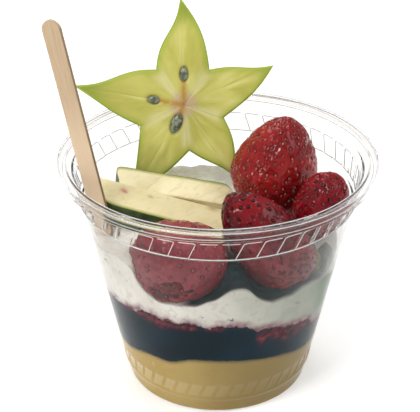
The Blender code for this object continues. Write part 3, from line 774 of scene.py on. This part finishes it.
def make_berry(name, sizes, seed):
    """The surface, lowered by a pit (1 - (d / R)^2)^2 at each seed and swollen between the pits."""
    polar = np.linspace(0.015, math.pi - 0.015, BERRY_ROWS)[:, None] + np.zeros((1, BERRY_COLUMNS))
    turn = np.arange(BERRY_COLUMNS)[None] * 2 * math.pi / BERRY_COLUMNS + np.zeros((BERRY_ROWS, 1))
    rows, out, _ = surface_frame(polar, turn, sizes)
    pits = berry_points(*seed_places(sizes, seed), sizes)
    gaps = np.full(rows.shape[:2], 1.0)
    for pit_place in pits:
        gaps = np.minimum(gaps, np.linalg.norm(rows - pit_place, axis=-1))
    pit = np.clip(1 - (gaps / PIT_RADIUS) ** 2, 0, 1) ** 2
    low = PIT_DEPTH * pit + 0.00022 * (1 + ripples(rows, 0.0045, seed)) + 0.00008 * ripples(rows, 0.0016, seed + 5)
    rows = rows - out * low[..., None]
    mesh = closed_mesh(name + "_flesh", rows)
    keep(mesh, "pit", pit)
    angle, patch_height, wide, tall, rise = PRESSED_PATCH
    away = np.degrees(np.arctan2(rows[..., 1], rows[..., 0])) - angle
    inside = (away / wide) ** 2 + ((rows[..., 2] - patch_height - rise * away) / tall) ** 2
    ragged = 1 + 0.55 * ripples(rows, 0.0042, 9) + 0.35 * ripples(rows, 0.0018, 10)
    on_front = np.linalg.norm(rows[..., :2], axis=-1) > 0.029
    keep(mesh, "pressed", (1 - smooth(inside - ragged, -0.05, 0.05)) * on_front * (name == PRESSED_BERRY))
    return mesh


def make_seeds(name, sizes, seed):
    """A flat egg of 0.9 by 0.6 mm in each pit, longest towards the stalk."""
    polar, turn = seed_places(sizes, seed)
    here, out, down = surface_frame(polar, turn, sizes)
    side = np.cross(out, down)
    draw = np.random.default_rng(seed + 50)
    scale = draw.uniform(0.8, 1.15, len(here))[:, None, None, None]
    lat = np.linspace(0.15, math.pi - 0.15, 6)[:, None]
    lon = np.arange(8)[None] * math.pi / 4
    length = np.cos(lat) + 0 * lon
    wide, thick = np.sin(lat) * np.cos(lon), np.sin(lat) * np.sin(lon)
    base = here - out * (PIT_DEPTH * 0.80)
    points = base[:, None, None] + scale * (
        length[None, ..., None] * down[:, None, None] * 0.00043
        + wide[None, ..., None] * side[:, None, None] * 0.00028
        + thick[None, ..., None] * out[:, None, None] * 0.00026
    )
    mesh = join([closed_mesh("seed", eggs) for eggs in points], name + "_seeds")
    layer = mesh.attributes.new("tone", "FLOAT", "POINT")
    tones = np.repeat(draw.uniform(0, 1, len(here)), len(mesh.vertices) // len(here))
    layer.data.foreach_set("value", tones.astype(np.float32))
    return mesh


def berry_surface(name, bright, deep, pit_shade_colour, painted_wall_haze):
    """Wet strawberry flesh: red, darker in patches, with painted shade in the pits, glossy, and a painted haze of the
    wall's reflection on the low part behind the wall.
    """
    made, tree, shader, place = new_surface(
        name, Roughness=0.12, IOR=1.4, Subsurface_Weight=0.08, Specular_IOR_Level=0.36,
    )
    shader.inputs["Subsurface Radius"].default_value = (0.0035, 0.0008, 0.0006)
    shader.inputs["Subsurface Scale"].default_value = 1.0
    broad = mixed(tree, ranged(tree, noise(tree, place, 9.0, 3.0), 0.32, 0.68), linear(bright), linear(deep))
    grained = mixed(tree, ranged(tree, noise(tree, place, 0.9, 3.0), 0.45, 0.75), broad, linear(bright))
    # Painted shade: the pits are darker.
    pitted = mixed(tree, product(tree, carried(tree, "pit"), 0.7), grained, linear(pit_shade_colour))
    height = add_node(tree, "ShaderNodeSeparateXYZ", {}, {0: place}).outputs["Z"]
    # Painted reflection: the low part behind the wall is paler pink, for the wall's haze.
    painted_haze = product(tree, ranged(tree, height, 0.0640, 0.0560), painted_wall_haze)
    pitted = mixed(tree, painted_haze, pitted, linear("#a8585e"))
    wet = mixed(tree, ranged(tree, noise(tree, place, 1.5, 3.0), 0.35, 0.6), linear("#7a000c"), linear("#400007"))
    paint(tree, shader, mixed(tree, carried(tree, "pressed"), pitted, wet))
    bumped(tree, shader, noise(tree, place, 1.3, 2.0), 0.10)
    return made


def seed_surface(name, pale, dark):
    """Achenes: dry little nuts, straw-coloured to nearly black, duller than the flesh."""
    made, tree, shader, place = new_surface(name, Roughness=0.35, IOR=1.45)
    tone = mixed(tree, carried(tree, "tone"), linear(pale), linear(dark))
    paint(tree, shader, mixed(tree, product(tree, noise(tree, place, 0.5), 0.5), tone, linear(dark)))
    return made


# %% The four strawberries
BERRY_COLOURS = {
    "strawberry_back": ("#9a2020", "#6a0e13", "#58090e", "#c88a74", "#8a4036"),
    "strawberry_right": ("#90141f", "#560812", "#35060c", "#a05a48", "#3c1010"),
    "strawberry_centre": ("#7c1019", "#42060d", "#240407", "#5c2a20", "#0a0404"),
    "strawberry_left": ("#92303a", "#74202b", "#70222c", "#a8746a", "#6a3238"),
}
# How far a painted haze, for the wall's reflection, pales the low part of the two berries in front.
PAINTED_WALL_HAZE = {"strawberry_left": 0.36, "strawberry_centre": 0.25}
for number, (name, sizes) in enumerate(STRAWBERRIES.items()):
    bright, deep, pit_shade_colour, pale, dark = BERRY_COLOURS[name]
    painted_wall_haze = PAINTED_WALL_HAZE.get(name, 0.0)
    flesh = berry_surface("wet_flesh_of_" + name, bright, deep, pit_shade_colour, painted_wall_haze)
    add_piece(make_berry(name, sizes, 20 + number), flesh, [name])
    seeds = seed_surface("achenes_of_" + name, pale, dark)
    add_piece(make_seeds(name, sizes, 20 + number), seeds)

# %% [markdown]
# ## Apple slices
# A slice is a wedge of an apple: two cut faces, the green peel on the outside, and the core trimmed
# off. Its section is a thin wedge with round corners, carried along the slice while the peel's
# distance from the core follows a squarish oval. A number on each point says how near the peel is.

# %% Sizes of the slices: core edge, outwards, along, peel and core radius, half height, wedge, ends
APPLE_SLICES = {
    "apple_slice_front": (
        (-0.0150, 0.0034, 0.0598), (0.00, -1.00, -0.08), (1.00, -0.05, -0.27), 0.0330, 0.0192, 0.0225, 16, 8, 0.0,
    ),
    "apple_slice_rear": (
        (-0.0118, 0.0044, 0.0585), (0.04, 0.96, 0.27), (-1.00, 0.02, 0.17), 0.0298, 0.0198, 0.0188, 12, 20, 0.34,
    ),
    "apple_slice_side": (
        (0.0284, -0.0162, 0.0442), (0.87, -0.48, -0.17), (0.17, -0.10, 0.98), 0.0290, 0.0249, 0.0085, 14, 8, 0.0,
    ),
}
SLICE_ROWS, SLICE_COLUMNS = 120, 120
# Below 1, the green of the peel reaches further over the slice's faces.
PEEL_SPREAD = {"apple_slice_rear": 0.5, "apple_slice_side": 0.04}
# Each stain: its place, then its radius. Berry juice makes a pink one, and air the brown ones.
APPLE_STAINS = {
    "pink_stain": ((-0.0292, -0.0002, 0.0633, 0.0011), (-0.0286, -0.0010, 0.0630, 0.0006)),
    "brown_stain": ((-0.0014, 0.0017, 0.0560, 0.0016), (-0.0209, 0.0000, 0.0611, 0.0008)),
}


def make_slice(name, sizes, seed):
    """Point (r cos a, r sin a, h): r and a on a boxy loop round the section, peel R (1 - h^n)^(1/n)."""
    core, outwards_way, along, radius, core_radius, half, wedge, squareness, lean = sizes
    wedge = math.radians(wedge)
    limit = (1 - (core_radius / radius) ** squareness) ** (1 / squareness)
    share = np.sin(np.linspace(-1, 1, SLICE_ROWS) * math.pi / 2)[:, None] * limit * 0.9995
    peel = radius * (1 - np.abs(share) ** squareness) ** (1 / squareness)
    across, round_it = squarish_loop(SLICE_COLUMNS, 11.0)
    reach = (core_radius + peel) / 2 + (peel - core_radius) / 2 * across[None]
    angle = wedge / 2 + wedge / 2 * round_it[None] * (1 - 0.10 * np.abs(share) ** 30)
    x = np.maximum(reach * np.cos(angle), core_radius)
    local = np.stack([x, reach * np.sin(angle), half * share + lean * (x - core_radius)], -1)
    turn = turned(outwards_way, along)
    rows = (local - np.array((core_radius, 0, 0))) @ turn.T + np.array(core)
    to_middle = rows.mean(axis=(0, 1)) - rows
    to_middle /= np.linalg.norm(to_middle, axis=-1, keepdims=True)
    sink = 0.00010 * (1 + ripples(rows, 0.0060, seed)) + 0.00006 * (1 + ripples(rows, 0.0018, seed + 5))
    mesh = closed_mesh(name + "_flesh", rows + to_middle * sink[..., None])
    to_peel = np.clip((reach - core_radius) / (peel - core_radius + 1e-6), 0, 1)
    keep(mesh, "to_peel", to_peel ** PEEL_SPREAD.get(name, 1.0))
    for label, places in APPLE_STAINS.items():
        near = [np.exp(-(np.linalg.norm(rows - place, axis=-1) / size) ** 2) for *place, size in places]
        keep(mesh, label, np.clip(np.sum(near, axis=0), 0, 1))
    return mesh


apple, tree, shader, place = new_surface(
    "cut_apple_with_green_peel", Roughness=0.42, IOR=1.38, Specular_IOR_Level=0.35,
)
flesh = mixed(tree, ranged(tree, noise(tree, place, 8.0, 4.0), 0.35, 0.7), linear("#fbf0c4"), linear("#ebdcaa"))
streaks = add_node(
    tree, "ShaderNodeMapping", {"vector_type": "TEXTURE"},
    {"Vector": place, "Rotation": (0.0, -0.25, 0.8), "Scale": (5.0, 1.0, 1.0)},
).outputs[0]
flesh = mixed(
    tree, product(tree, ranged(tree, noise(tree, streaks, 1.5, 3.0, 0.6), 0.50, 0.72), 0.40),
    flesh, linear("#c6b078"),
)
pale = ranged(tree, noise(tree, streaks, 1.0, 3.0, 0.5), 0.50, 0.68, 0.0, 0.7)
flesh = mixed(tree, pale, flesh, linear("#f7eecb"))
# Painted shade: the front slice is darker than the rear one.
front_slice_shade = add_node(tree, "ShaderNodeSeparateXYZ", {}, {0: place}).outputs["Y"]
flesh = mixed(tree, ranged(tree, front_slice_shade, 0.0060, 0.0010, 0.0, 0.55), flesh, linear("#d2c294"))
flesh = mixed(tree, product(tree, carried(tree, "pink_stain"), 0.8), flesh, linear("#c46a6a"))
flesh = mixed(tree, product(tree, carried(tree, "brown_stain"), 0.7), flesh, linear("#a8894a"))
green = mixed(tree, ranged(tree, noise(tree, place, 5.0, 3.0), 0.3, 0.7), linear("#1f2d17"), linear("#44552a"))
peel_share = carried(tree, "to_peel")
rim = mixed(tree, ranged(tree, peel_share, 0.88, 0.96), flesh, linear("#b3b469"))
paint(tree, shader, mixed(tree, ranged(tree, peel_share, 0.955, 0.985), rim, green))
bumped(tree, shader, noise(tree, streaks, 0.9, 3.0), 0.10)
for number, (name, sizes) in enumerate(APPLE_SLICES.items()):
    add_piece(make_slice(name, sizes, 40 + number), apple, [name])

# %% [markdown]
# ## The star-fruit slice
# A slice across a star fruit has five lobes. Its outline is worked out lobe by lobe, from a waist to
# the tip and on to the next waist, and the face is that outline drawn in towards the middle. Numbers
# on the points say how near the skin is and where round the star they lie.

# %% Sizes of the star
STAR_CENTRE = np.array((-0.0110, 0.0288, 0.0790))
STAR_LEAN = math.radians(24.0)
STAR_THICKNESS = 0.0055
STAR_WAISTS = ((-17, 0.0135), (54, 0.0141), (128, 0.0145), (206, 0.0156), (277, 0.0148))
STAR_LOBES = (
    (24, 0.0316, 0.0014, -0.0001, 0.0001, 0.0004),
    (92, 0.0342, 0.0021, 0.0000, 0.0001, 0.0008),
    (170, 0.0363, 0.0000, 0.0008, 0.0006, 0.0002),
    (241, 0.0355, -0.0003, 0.0000, 0.0004, 0.0002),
    (306, 0.0290, -0.0003, 0.0003, 0.0014, 0.0002),
)
STAR_SEEDS = ((90, 0.0100, 0.0048, 0.0026), (170, 0.0099, 0.0040, 0.0026), (248, 0.0064, 0.0064, 0.0034))
STAR_STEPS = 26
STAR_TURN = turned((1, 0, 0), (0, -math.cos(STAR_LEAN), math.sin(STAR_LEAN)))


def on_face(degrees, reach):
    angle = math.radians(degrees)
    return np.array((math.cos(angle), math.sin(angle))) * reach


def lobe_side(waist, tip, swell, curl):
    """Waist to tip along a line, bent by swell sin(pi t) + curl sin(2 pi t) away from the middle."""
    along = tip - waist
    out = unit((-along[1], along[0]))
    out = out if out.dot(waist) > 0 else -out
    share = np.arange(STAR_STEPS) / STAR_STEPS
    bend = swell * np.sin(math.pi * share) + curl * np.sin(2 * math.pi * share)
    return waist + along * share[:, None] + out * bend[:, None]


def star_outline():
    pieces = []
    for index, (angle, reach, swell, curl, swell_after, curl_after) in enumerate(STAR_LOBES):
        tip = on_face(angle, reach)
        after = on_face(*STAR_WAISTS[(index + 1) % len(STAR_WAISTS)])
        pieces += [lobe_side(on_face(*STAR_WAISTS[index]), tip, swell, curl), tip[None]]
        pieces.append(lobe_side(after, tip, swell_after, curl_after)[:0:-1])
    return np.concatenate(pieces)


def lobe_shares():
    """For each point of the outline, 0 at a waist and 1 at a tip, plus the number of its lobe."""
    up = np.arange(STAR_STEPS) / STAR_STEPS
    one = np.concatenate([up, [1.0], up[:0:-1]])
    return np.tile(one, 5), np.repeat(np.arange(5), len(one)) + np.tile(np.linspace(0, 0.5, len(one)), 5)


def to_segment(flat, start, end):
    """Distance of points to a straight line between two places."""
    along = end - start
    share = np.clip((flat - start) @ along / along.dot(along), 0, 1)
    return np.linalg.norm(flat - start - share[..., None] * along, axis=-1)


def make_star():
    """Rings of the outline times s on the front, down the skin, and back on the other face."""
    outline = star_outline()
    inner = 1 - (1 - np.linspace(0.02, 1, 60)) ** 1.2
    skin = np.linspace(-1, 1, 9)[1:-1]
    share = np.concatenate([inner, np.full(len(skin), 1.0), inner[::-1]])[:, None]
    half = STAR_THICKNESS / 2
    depth = np.concatenate([np.full(60, half), -skin * half, np.full(60, -half)])[:, None]
    lobe, number = lobe_shares()
    reach = np.linalg.norm(outline, axis=-1)[None]
    flat = outline[None] * share[..., None]
    radius = np.linalg.norm(flat, axis=-1)
    stride = np.roll(outline, -1, 0) - outline
    fine = np.concatenate([outline + stride * part for part in (0, 0.25, 0.5, 0.75)])
    edge = np.stack([np.linalg.norm(ring[:, None] - fine[None], axis=-1).min(-1) for ring in flat])
    edge = np.where(share == 1, 0.0, edge)
    rounding = 0.0005 * np.clip(1 - edge / 0.0008, 0, 1) ** 2
    waist_dip = np.exp(-((lobe / 0.16) ** 2))[None] * np.exp(-((radius / 0.011) ** 2))
    lobe_dip = np.exp(-(((1 - lobe) / 0.10) ** 2))[None] * smooth(radius, 0.012, 0.017) * smooth(edge, 0.001, 0.003)
    core = 0.0004 * np.exp(-((radius / 0.0035) ** 2)) + 0.00018 * waist_dip + 0.00020 * lobe_dip
    height = depth - np.sign(depth) * (rounding + core) + 0 * reach
    rows = np.concatenate([flat, height[..., None]], -1)
    hollow, brown = np.zeros(radius.shape), np.zeros(radius.shape)
    for degrees, distance, length, width in STAR_SEEDS:
        along = on_face(degrees, 1)
        offset = flat - along * distance
        u, v = offset @ along / (length * 0.62), offset @ np.array((-along[1], along[0])) / (width * 0.66)
        hollow += np.exp(-((u**2 + v**2) ** 2))
        line = to_segment(flat, along * 0.0012, along * (distance - length * 0.3))
        brown += np.exp(-((line / 0.0010) ** 2))
    rows[..., 2] -= 0.0006 * hollow * (depth == half)
    mesh = closed_mesh("star_fruit_flesh", rows @ STAR_TURN.T + STAR_CENTRE)
    keep(mesh, "from_skin", np.where(np.abs(depth) < half, 0.0, edge) / 0.010)
    keep(mesh, "from_middle", radius / 0.030)
    keep(mesh, "lobe", lobe[None] + 0 * radius)
    keep(mesh, "fibre", (number * 5.5)[None] + 0 * radius)
    keep(mesh, "hollow", hollow)
    keep(mesh, "brown", brown)
    return mesh


def make_star_seeds():
    """A plump egg in each hollow of the face, standing 0.4 mm proud of it."""
    eggs = []
    lat = np.linspace(0.08, math.pi - 0.08, 18)[:, None]
    lon = np.arange(24)[None] * math.pi / 12
    for degrees, distance, length, width in STAR_SEEDS:
        along = on_face(degrees, 1)
        aside = np.array((-along[1], along[0]))
        narrow = 1 - 0.22 * np.cos(lat)
        u, v, w = np.cos(lat) * length / 2 + 0 * lon, np.sin(lat) * np.cos(lon) * width / 2 * narrow, np.sin(lat) * np.sin(lon)
        flat = along * distance + u[..., None] * along + v[..., None] * aside
        height = STAR_THICKNESS / 2 - 0.0005 + w * 0.0009
        eggs.append(closed_mesh("egg", np.concatenate([flat, height[..., None]], -1) @ STAR_TURN.T + STAR_CENTRE))
    return join(eggs, "star_fruit_seeds")


# Star-fruit flesh: waxy green skin round juicy, almost see-through flesh. Pale veins run from the core
# to the waists and along the lobes, and brown stains run from the seeds to the core.
star, tree, shader, place = new_surface(
    "star_fruit_flesh", Roughness=0.36, IOR=1.38, Subsurface_Weight=0.08, Specular_IOR_Level=0.35,
)
shader.inputs["Subsurface Radius"].default_value = (0.003, 0.003, 0.001)
shader.inputs["Subsurface Scale"].default_value = 1.0
lobe, middle, edge = carried(tree, "lobe"), carried(tree, "from_middle"), carried(tree, "from_skin")
radial = add_node(
    tree, "ShaderNodeCombineXYZ", {}, {"X": carried(tree, "fibre"), "Y": product(tree, middle, 1.1)},
).outputs[0]
fibres = add_node(
    tree, "ShaderNodeTexNoise", {}, {"Vector": radial, "Scale": 2.2, "Detail": 2.5, "Distortion": 0.2},
).outputs["Fac"]
flesh = mixed(tree, ranged(tree, noise(tree, place, 11.0, 2.0), 0.3, 0.7), linear("#c8c46c"), linear("#b8b456"))
flesh = mixed(tree, ranged(tree, fibres, 0.50, 0.75, 0.0, 0.60), flesh, linear("#a4a444"))
flesh = mixed(tree, ranged(tree, fibres, 0.50, 0.30, 0.0, 0.35), flesh, linear("#dcd898"))
waist_vein = product(tree, ranged(tree, lobe, 0.30, 0.0), ranged(tree, middle, 0.52, 0.34))
lobe_vein = product(tree, ranged(tree, lobe, 0.90, 0.98), ranged(tree, middle, 0.95, 0.40))
flesh = mixed(tree, product(tree, waist_vein, 0.60), flesh, linear("#dad5a0"))
flesh = mixed(tree, product(tree, lobe_vein, 0.25), flesh, linear("#dedb9a"))
left = add_node(tree, "ShaderNodeSeparateXYZ", {}, {0: place}).outputs["X"]
flesh = mixed(tree, ranged(tree, left, -0.018, -0.042, 0.0, 0.6), flesh, linear("#a3a048"))
flesh = mixed(tree, ranged(tree, edge, 0.26, 0.04, 0.0, 0.60), flesh, linear("#9cab3e"))
flesh = mixed(tree, ranged(tree, middle, 0.74, 1.10, 0.0, 0.9), flesh, linear("#83942f"))
core = product(tree, ranged(tree, middle, 0.20, 0.07), ranged(tree, noise(tree, place, 2.6, 3.0), 0.3, 0.6, 0.4, 1.0))
flesh = mixed(tree, core, flesh, linear("#c2a68c"))
stain = product(tree, carried(tree, "brown"), ranged(tree, noise(tree, place, 1.8, 3.0), 0.25, 0.50))
flesh = mixed(tree, product(tree, stain, 0.85), flesh, linear("#b08430"))
flesh = mixed(tree, ranged(tree, carried(tree, "hollow"), 0.20, 0.90, 0.0, 0.9), flesh, linear("#5f5228"))
paint(tree, shader, mixed(tree, ranged(tree, edge, 0.070, 0.030), flesh, linear("#93a636")))
bumped(tree, shader, fibres, 0.16)
add_piece(make_star(), star, ["star_fruit_slice"])

star_seed, tree, shader, place = new_surface("star_fruit_seed_coat", Roughness=0.25, IOR=1.45)
paint(tree, shader, mixed(tree, ranged(tree, noise(tree, place, 1.5, 3.0), 0.35, 0.65), linear("#8f9580"), linear("#4d5340")))
add_piece(make_star_seeds(), star_seed)

# %% [markdown]
# ## The wooden stirrer
# The stirrer is die-cut from birch veneer, so it is flat, with round ends and hardly broken edges.
# Its section, a squarish loop, is carried along its length and narrows in a half circle at each end.

# %% Sizes and shape of the stirrer
STIRRER_TOP = np.array((-0.0462, -0.0160, 0.12425))
STIRRER_TOWARDS = np.array((-0.0366, -0.0120, 0.0679))
STIRRER_FACING = np.array((-0.35, -0.85, 0.30))
STIRRER_LENGTH, STIRRER_WIDTH, STIRRER_THICKNESS = 0.100, 0.0057, 0.0014


def make_stirrer():
    """Half width sqrt(R^2 - (R - d)^2) within R of either end, at a distance d from it."""
    half = STIRRER_WIDTH / 2
    end = half * (1 - np.cos(np.linspace(0.05, math.pi / 2, 16)))
    distance = np.concatenate([end, np.linspace(half, STIRRER_LENGTH - half, 40)[1:-1], STIRRER_LENGTH - end[::-1]])
    from_end = np.minimum(np.minimum(distance, STIRRER_LENGTH - distance), half)
    wide = np.sqrt(half**2 - (half - from_end) ** 2)[:, None]
    u, v = squarish_loop(48, 9.0)
    across = u[None] * wide
    thick = v[None] * STIRRER_THICKNESS / 2 + 0 * wide
    local = np.stack([-distance[:, None] + 0 * across, across, thick], -1)
    upwards = unit(STIRRER_TOP - STIRRER_TOWARDS)
    aside = unit(np.cross(upwards, STIRRER_FACING))
    facing = np.cross(aside, upwards)
    mesh = closed_mesh("birch_stirrer", local @ np.stack([upwards, -aside, facing]) + STIRRER_TOP)
    keep(mesh, "across", across / half)
    keep(mesh, "along", distance[:, None] / 0.01 + 0 * across)
    return mesh


# Birch veneer: pale tan, with fine straight grain along the stick, 0.4 mm apart, and a few darker pores.
birch, tree, shader, place = new_surface("die_cut_birch", Roughness=0.6, IOR=1.5)
grain_place = add_node(
    tree, "ShaderNodeCombineXYZ", {}, {"X": product(tree, carried(tree, "across"), 6.0), "Y": product(tree, carried(tree, "along"), 0.6)},
).outputs[0]
grain = add_node(tree, "ShaderNodeTexNoise", {}, {"Vector": grain_place, "Scale": 1.4, "Detail": 5.0, "Distortion": 0.3}).outputs["Fac"]
wood = mixed(tree, ranged(tree, grain, 0.35, 0.68), linear("#bfa787"), linear("#af9473"))
wood = mixed(tree, product(tree, ranged(tree, noise(tree, place, 12.0), 0.45, 0.75), 0.4), wood, linear("#ba9d7e"))
# Painted light: the stirrer is lighter towards its lower end.
wood = mixed(tree, ranged(tree, carried(tree, "along"), 2.0, 5.0, 0.0, 0.8), wood, linear("#e4caa8"))
# Painted shade: the narrow sides are darker.
side = add_node(tree, "ShaderNodeMath", {"operation": "ABSOLUTE"}, {0: carried(tree, "across")}).outputs[0]
paint(tree, shader, mixed(tree, ranged(tree, side, 0.95, 0.985), wood, linear("#8d7658")))
bumped(tree, shader, grain, 0.04)
add_piece(make_stirrer(), birch, ["wooden_stirrer"])

# %% [markdown]
# ## Floor, light and camera
# A plain white floor runs far behind the cup, as in a studio. A pale sky gives even light, with four
# soft lamps: a key from the upper left, a fill from the right, one behind, and a small low one at the left like a
# window; a darker band near the horizon gives the clear plastic its lines.

# %% The floor
FLOOR_SIZE = 10.0
floor_mesh = bpy.data.meshes.new("studio_floor")
corner = FLOOR_SIZE / 2
floor_mesh.from_pydata([(-corner, -corner, 0), (corner, -corner, 0), (corner, corner, 0), (-corner, corner, 0)], [], [(0, 1, 2, 3)])
studio_floor = bpy.data.objects.new("studio_floor", floor_mesh)
bpy.context.scene.collection.objects.link(studio_floor)
white_floor, tree, shader, place = new_surface(
    "white_paper_sweep", Roughness=0.8, IOR=1.4, Specular_IOR_Level=0.2,
    Emission_Color=(1.0, 1.0, 1.0, 1.0),
)
# The lamps fade with distance, so the paper's own glow takes over further out.
distance = add_node(tree, "ShaderNodeVectorMath", {"operation": "LENGTH"}, {0: place}).outputs["Value"]
tree.links.new(ranged(tree, distance, 0.3, 1.6, 0.26, 0.65), shader.inputs["Emission Strength"])
paint(tree, shader, mixed(tree, noise(tree, place, 60.0), linear("#fbfbfb"), linear("#f8f8f8")))
floor_mesh.materials.append(white_floor)
studio_floor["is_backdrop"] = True

# %% The light
world = bpy.data.worlds.new("studio")
bpy.context.scene.world = world
world.use_nodes = True
tree = world.node_tree
tree.nodes.clear()
up = add_node(tree, "ShaderNodeSeparateXYZ", {}, {0: add_node(tree, "ShaderNodeTexCoord").outputs["Generated"]}).outputs["Z"]
sky = mixed(tree, ranged(tree, up, 0.0, 0.55), (0.75, 0.75, 0.76, 1), (1.0, 1.0, 1.0, 1))
background = add_node(tree, "ShaderNodeBackground", {}, {"Color": sky, "Strength": 0.55})
add_node(tree, "ShaderNodeOutputWorld", {}, {"Surface": background.outputs[0]})


def soft_light(name, place, size, power):
    """A square light that faces the middle of the cup."""
    lamp = bpy.data.lights.new(name, "AREA")
    lamp.shape, lamp.size, lamp.energy = "SQUARE", size, power
    made = bpy.data.objects.new(name, lamp)
    bpy.context.scene.collection.objects.link(made)
    made.matrix_world = aimed(place, (0, 0, 0.05))
    return made


def aimed(place, target):
    """The placement of a camera or light at a place, looking at a target with its top upwards."""
    from mathutils import Matrix, Vector

    way = Vector(target) - Vector(place)
    return Matrix.Translation(place) @ way.to_track_quat("-Z", "Y").to_matrix().to_4x4()


soft_light("key", (-0.35, -0.45, 0.85), 0.22, 3.4)
soft_light("fill", (0.60, -0.20, 0.70), 0.50, 2.0)
soft_light("window", (-0.58, -0.66, 0.24), 0.08, 1.1)
soft_light("back", (-0.15, 0.60, 0.80), 0.50, 2.6)

# %% The camera
CAMERA_PLACE = (0.0, -0.331, 0.240)
CAMERA_PITCH, CAMERA_YAW = math.radians(28.85), math.radians(-0.41)
FOCAL_PIXELS, FRAME_WIDTH, SENSOR = 1214.5, 420, 36.0
looking = (
    math.sin(CAMERA_YAW) * math.cos(CAMERA_PITCH), math.cos(CAMERA_YAW) * math.cos(CAMERA_PITCH),
    -math.sin(CAMERA_PITCH),
)
lens = bpy.data.cameras.new("camera")
lens.sensor_width = SENSOR
lens.lens = FOCAL_PIXELS / FRAME_WIDTH * SENSOR
lens.clip_start = 0.01
camera = bpy.data.objects.new("camera", lens)
bpy.context.scene.collection.objects.link(camera)
camera.matrix_world = aimed(CAMERA_PLACE, [p + d for p, d in zip(CAMERA_PLACE, looking)])
bpy.context.scene.camera = camera
bpy.context.scene.view_settings.view_transform = "Standard"

# %% The size of the finished model
low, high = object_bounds()
print("visual box:", [round(value, 4) for value in (*low, *high)])
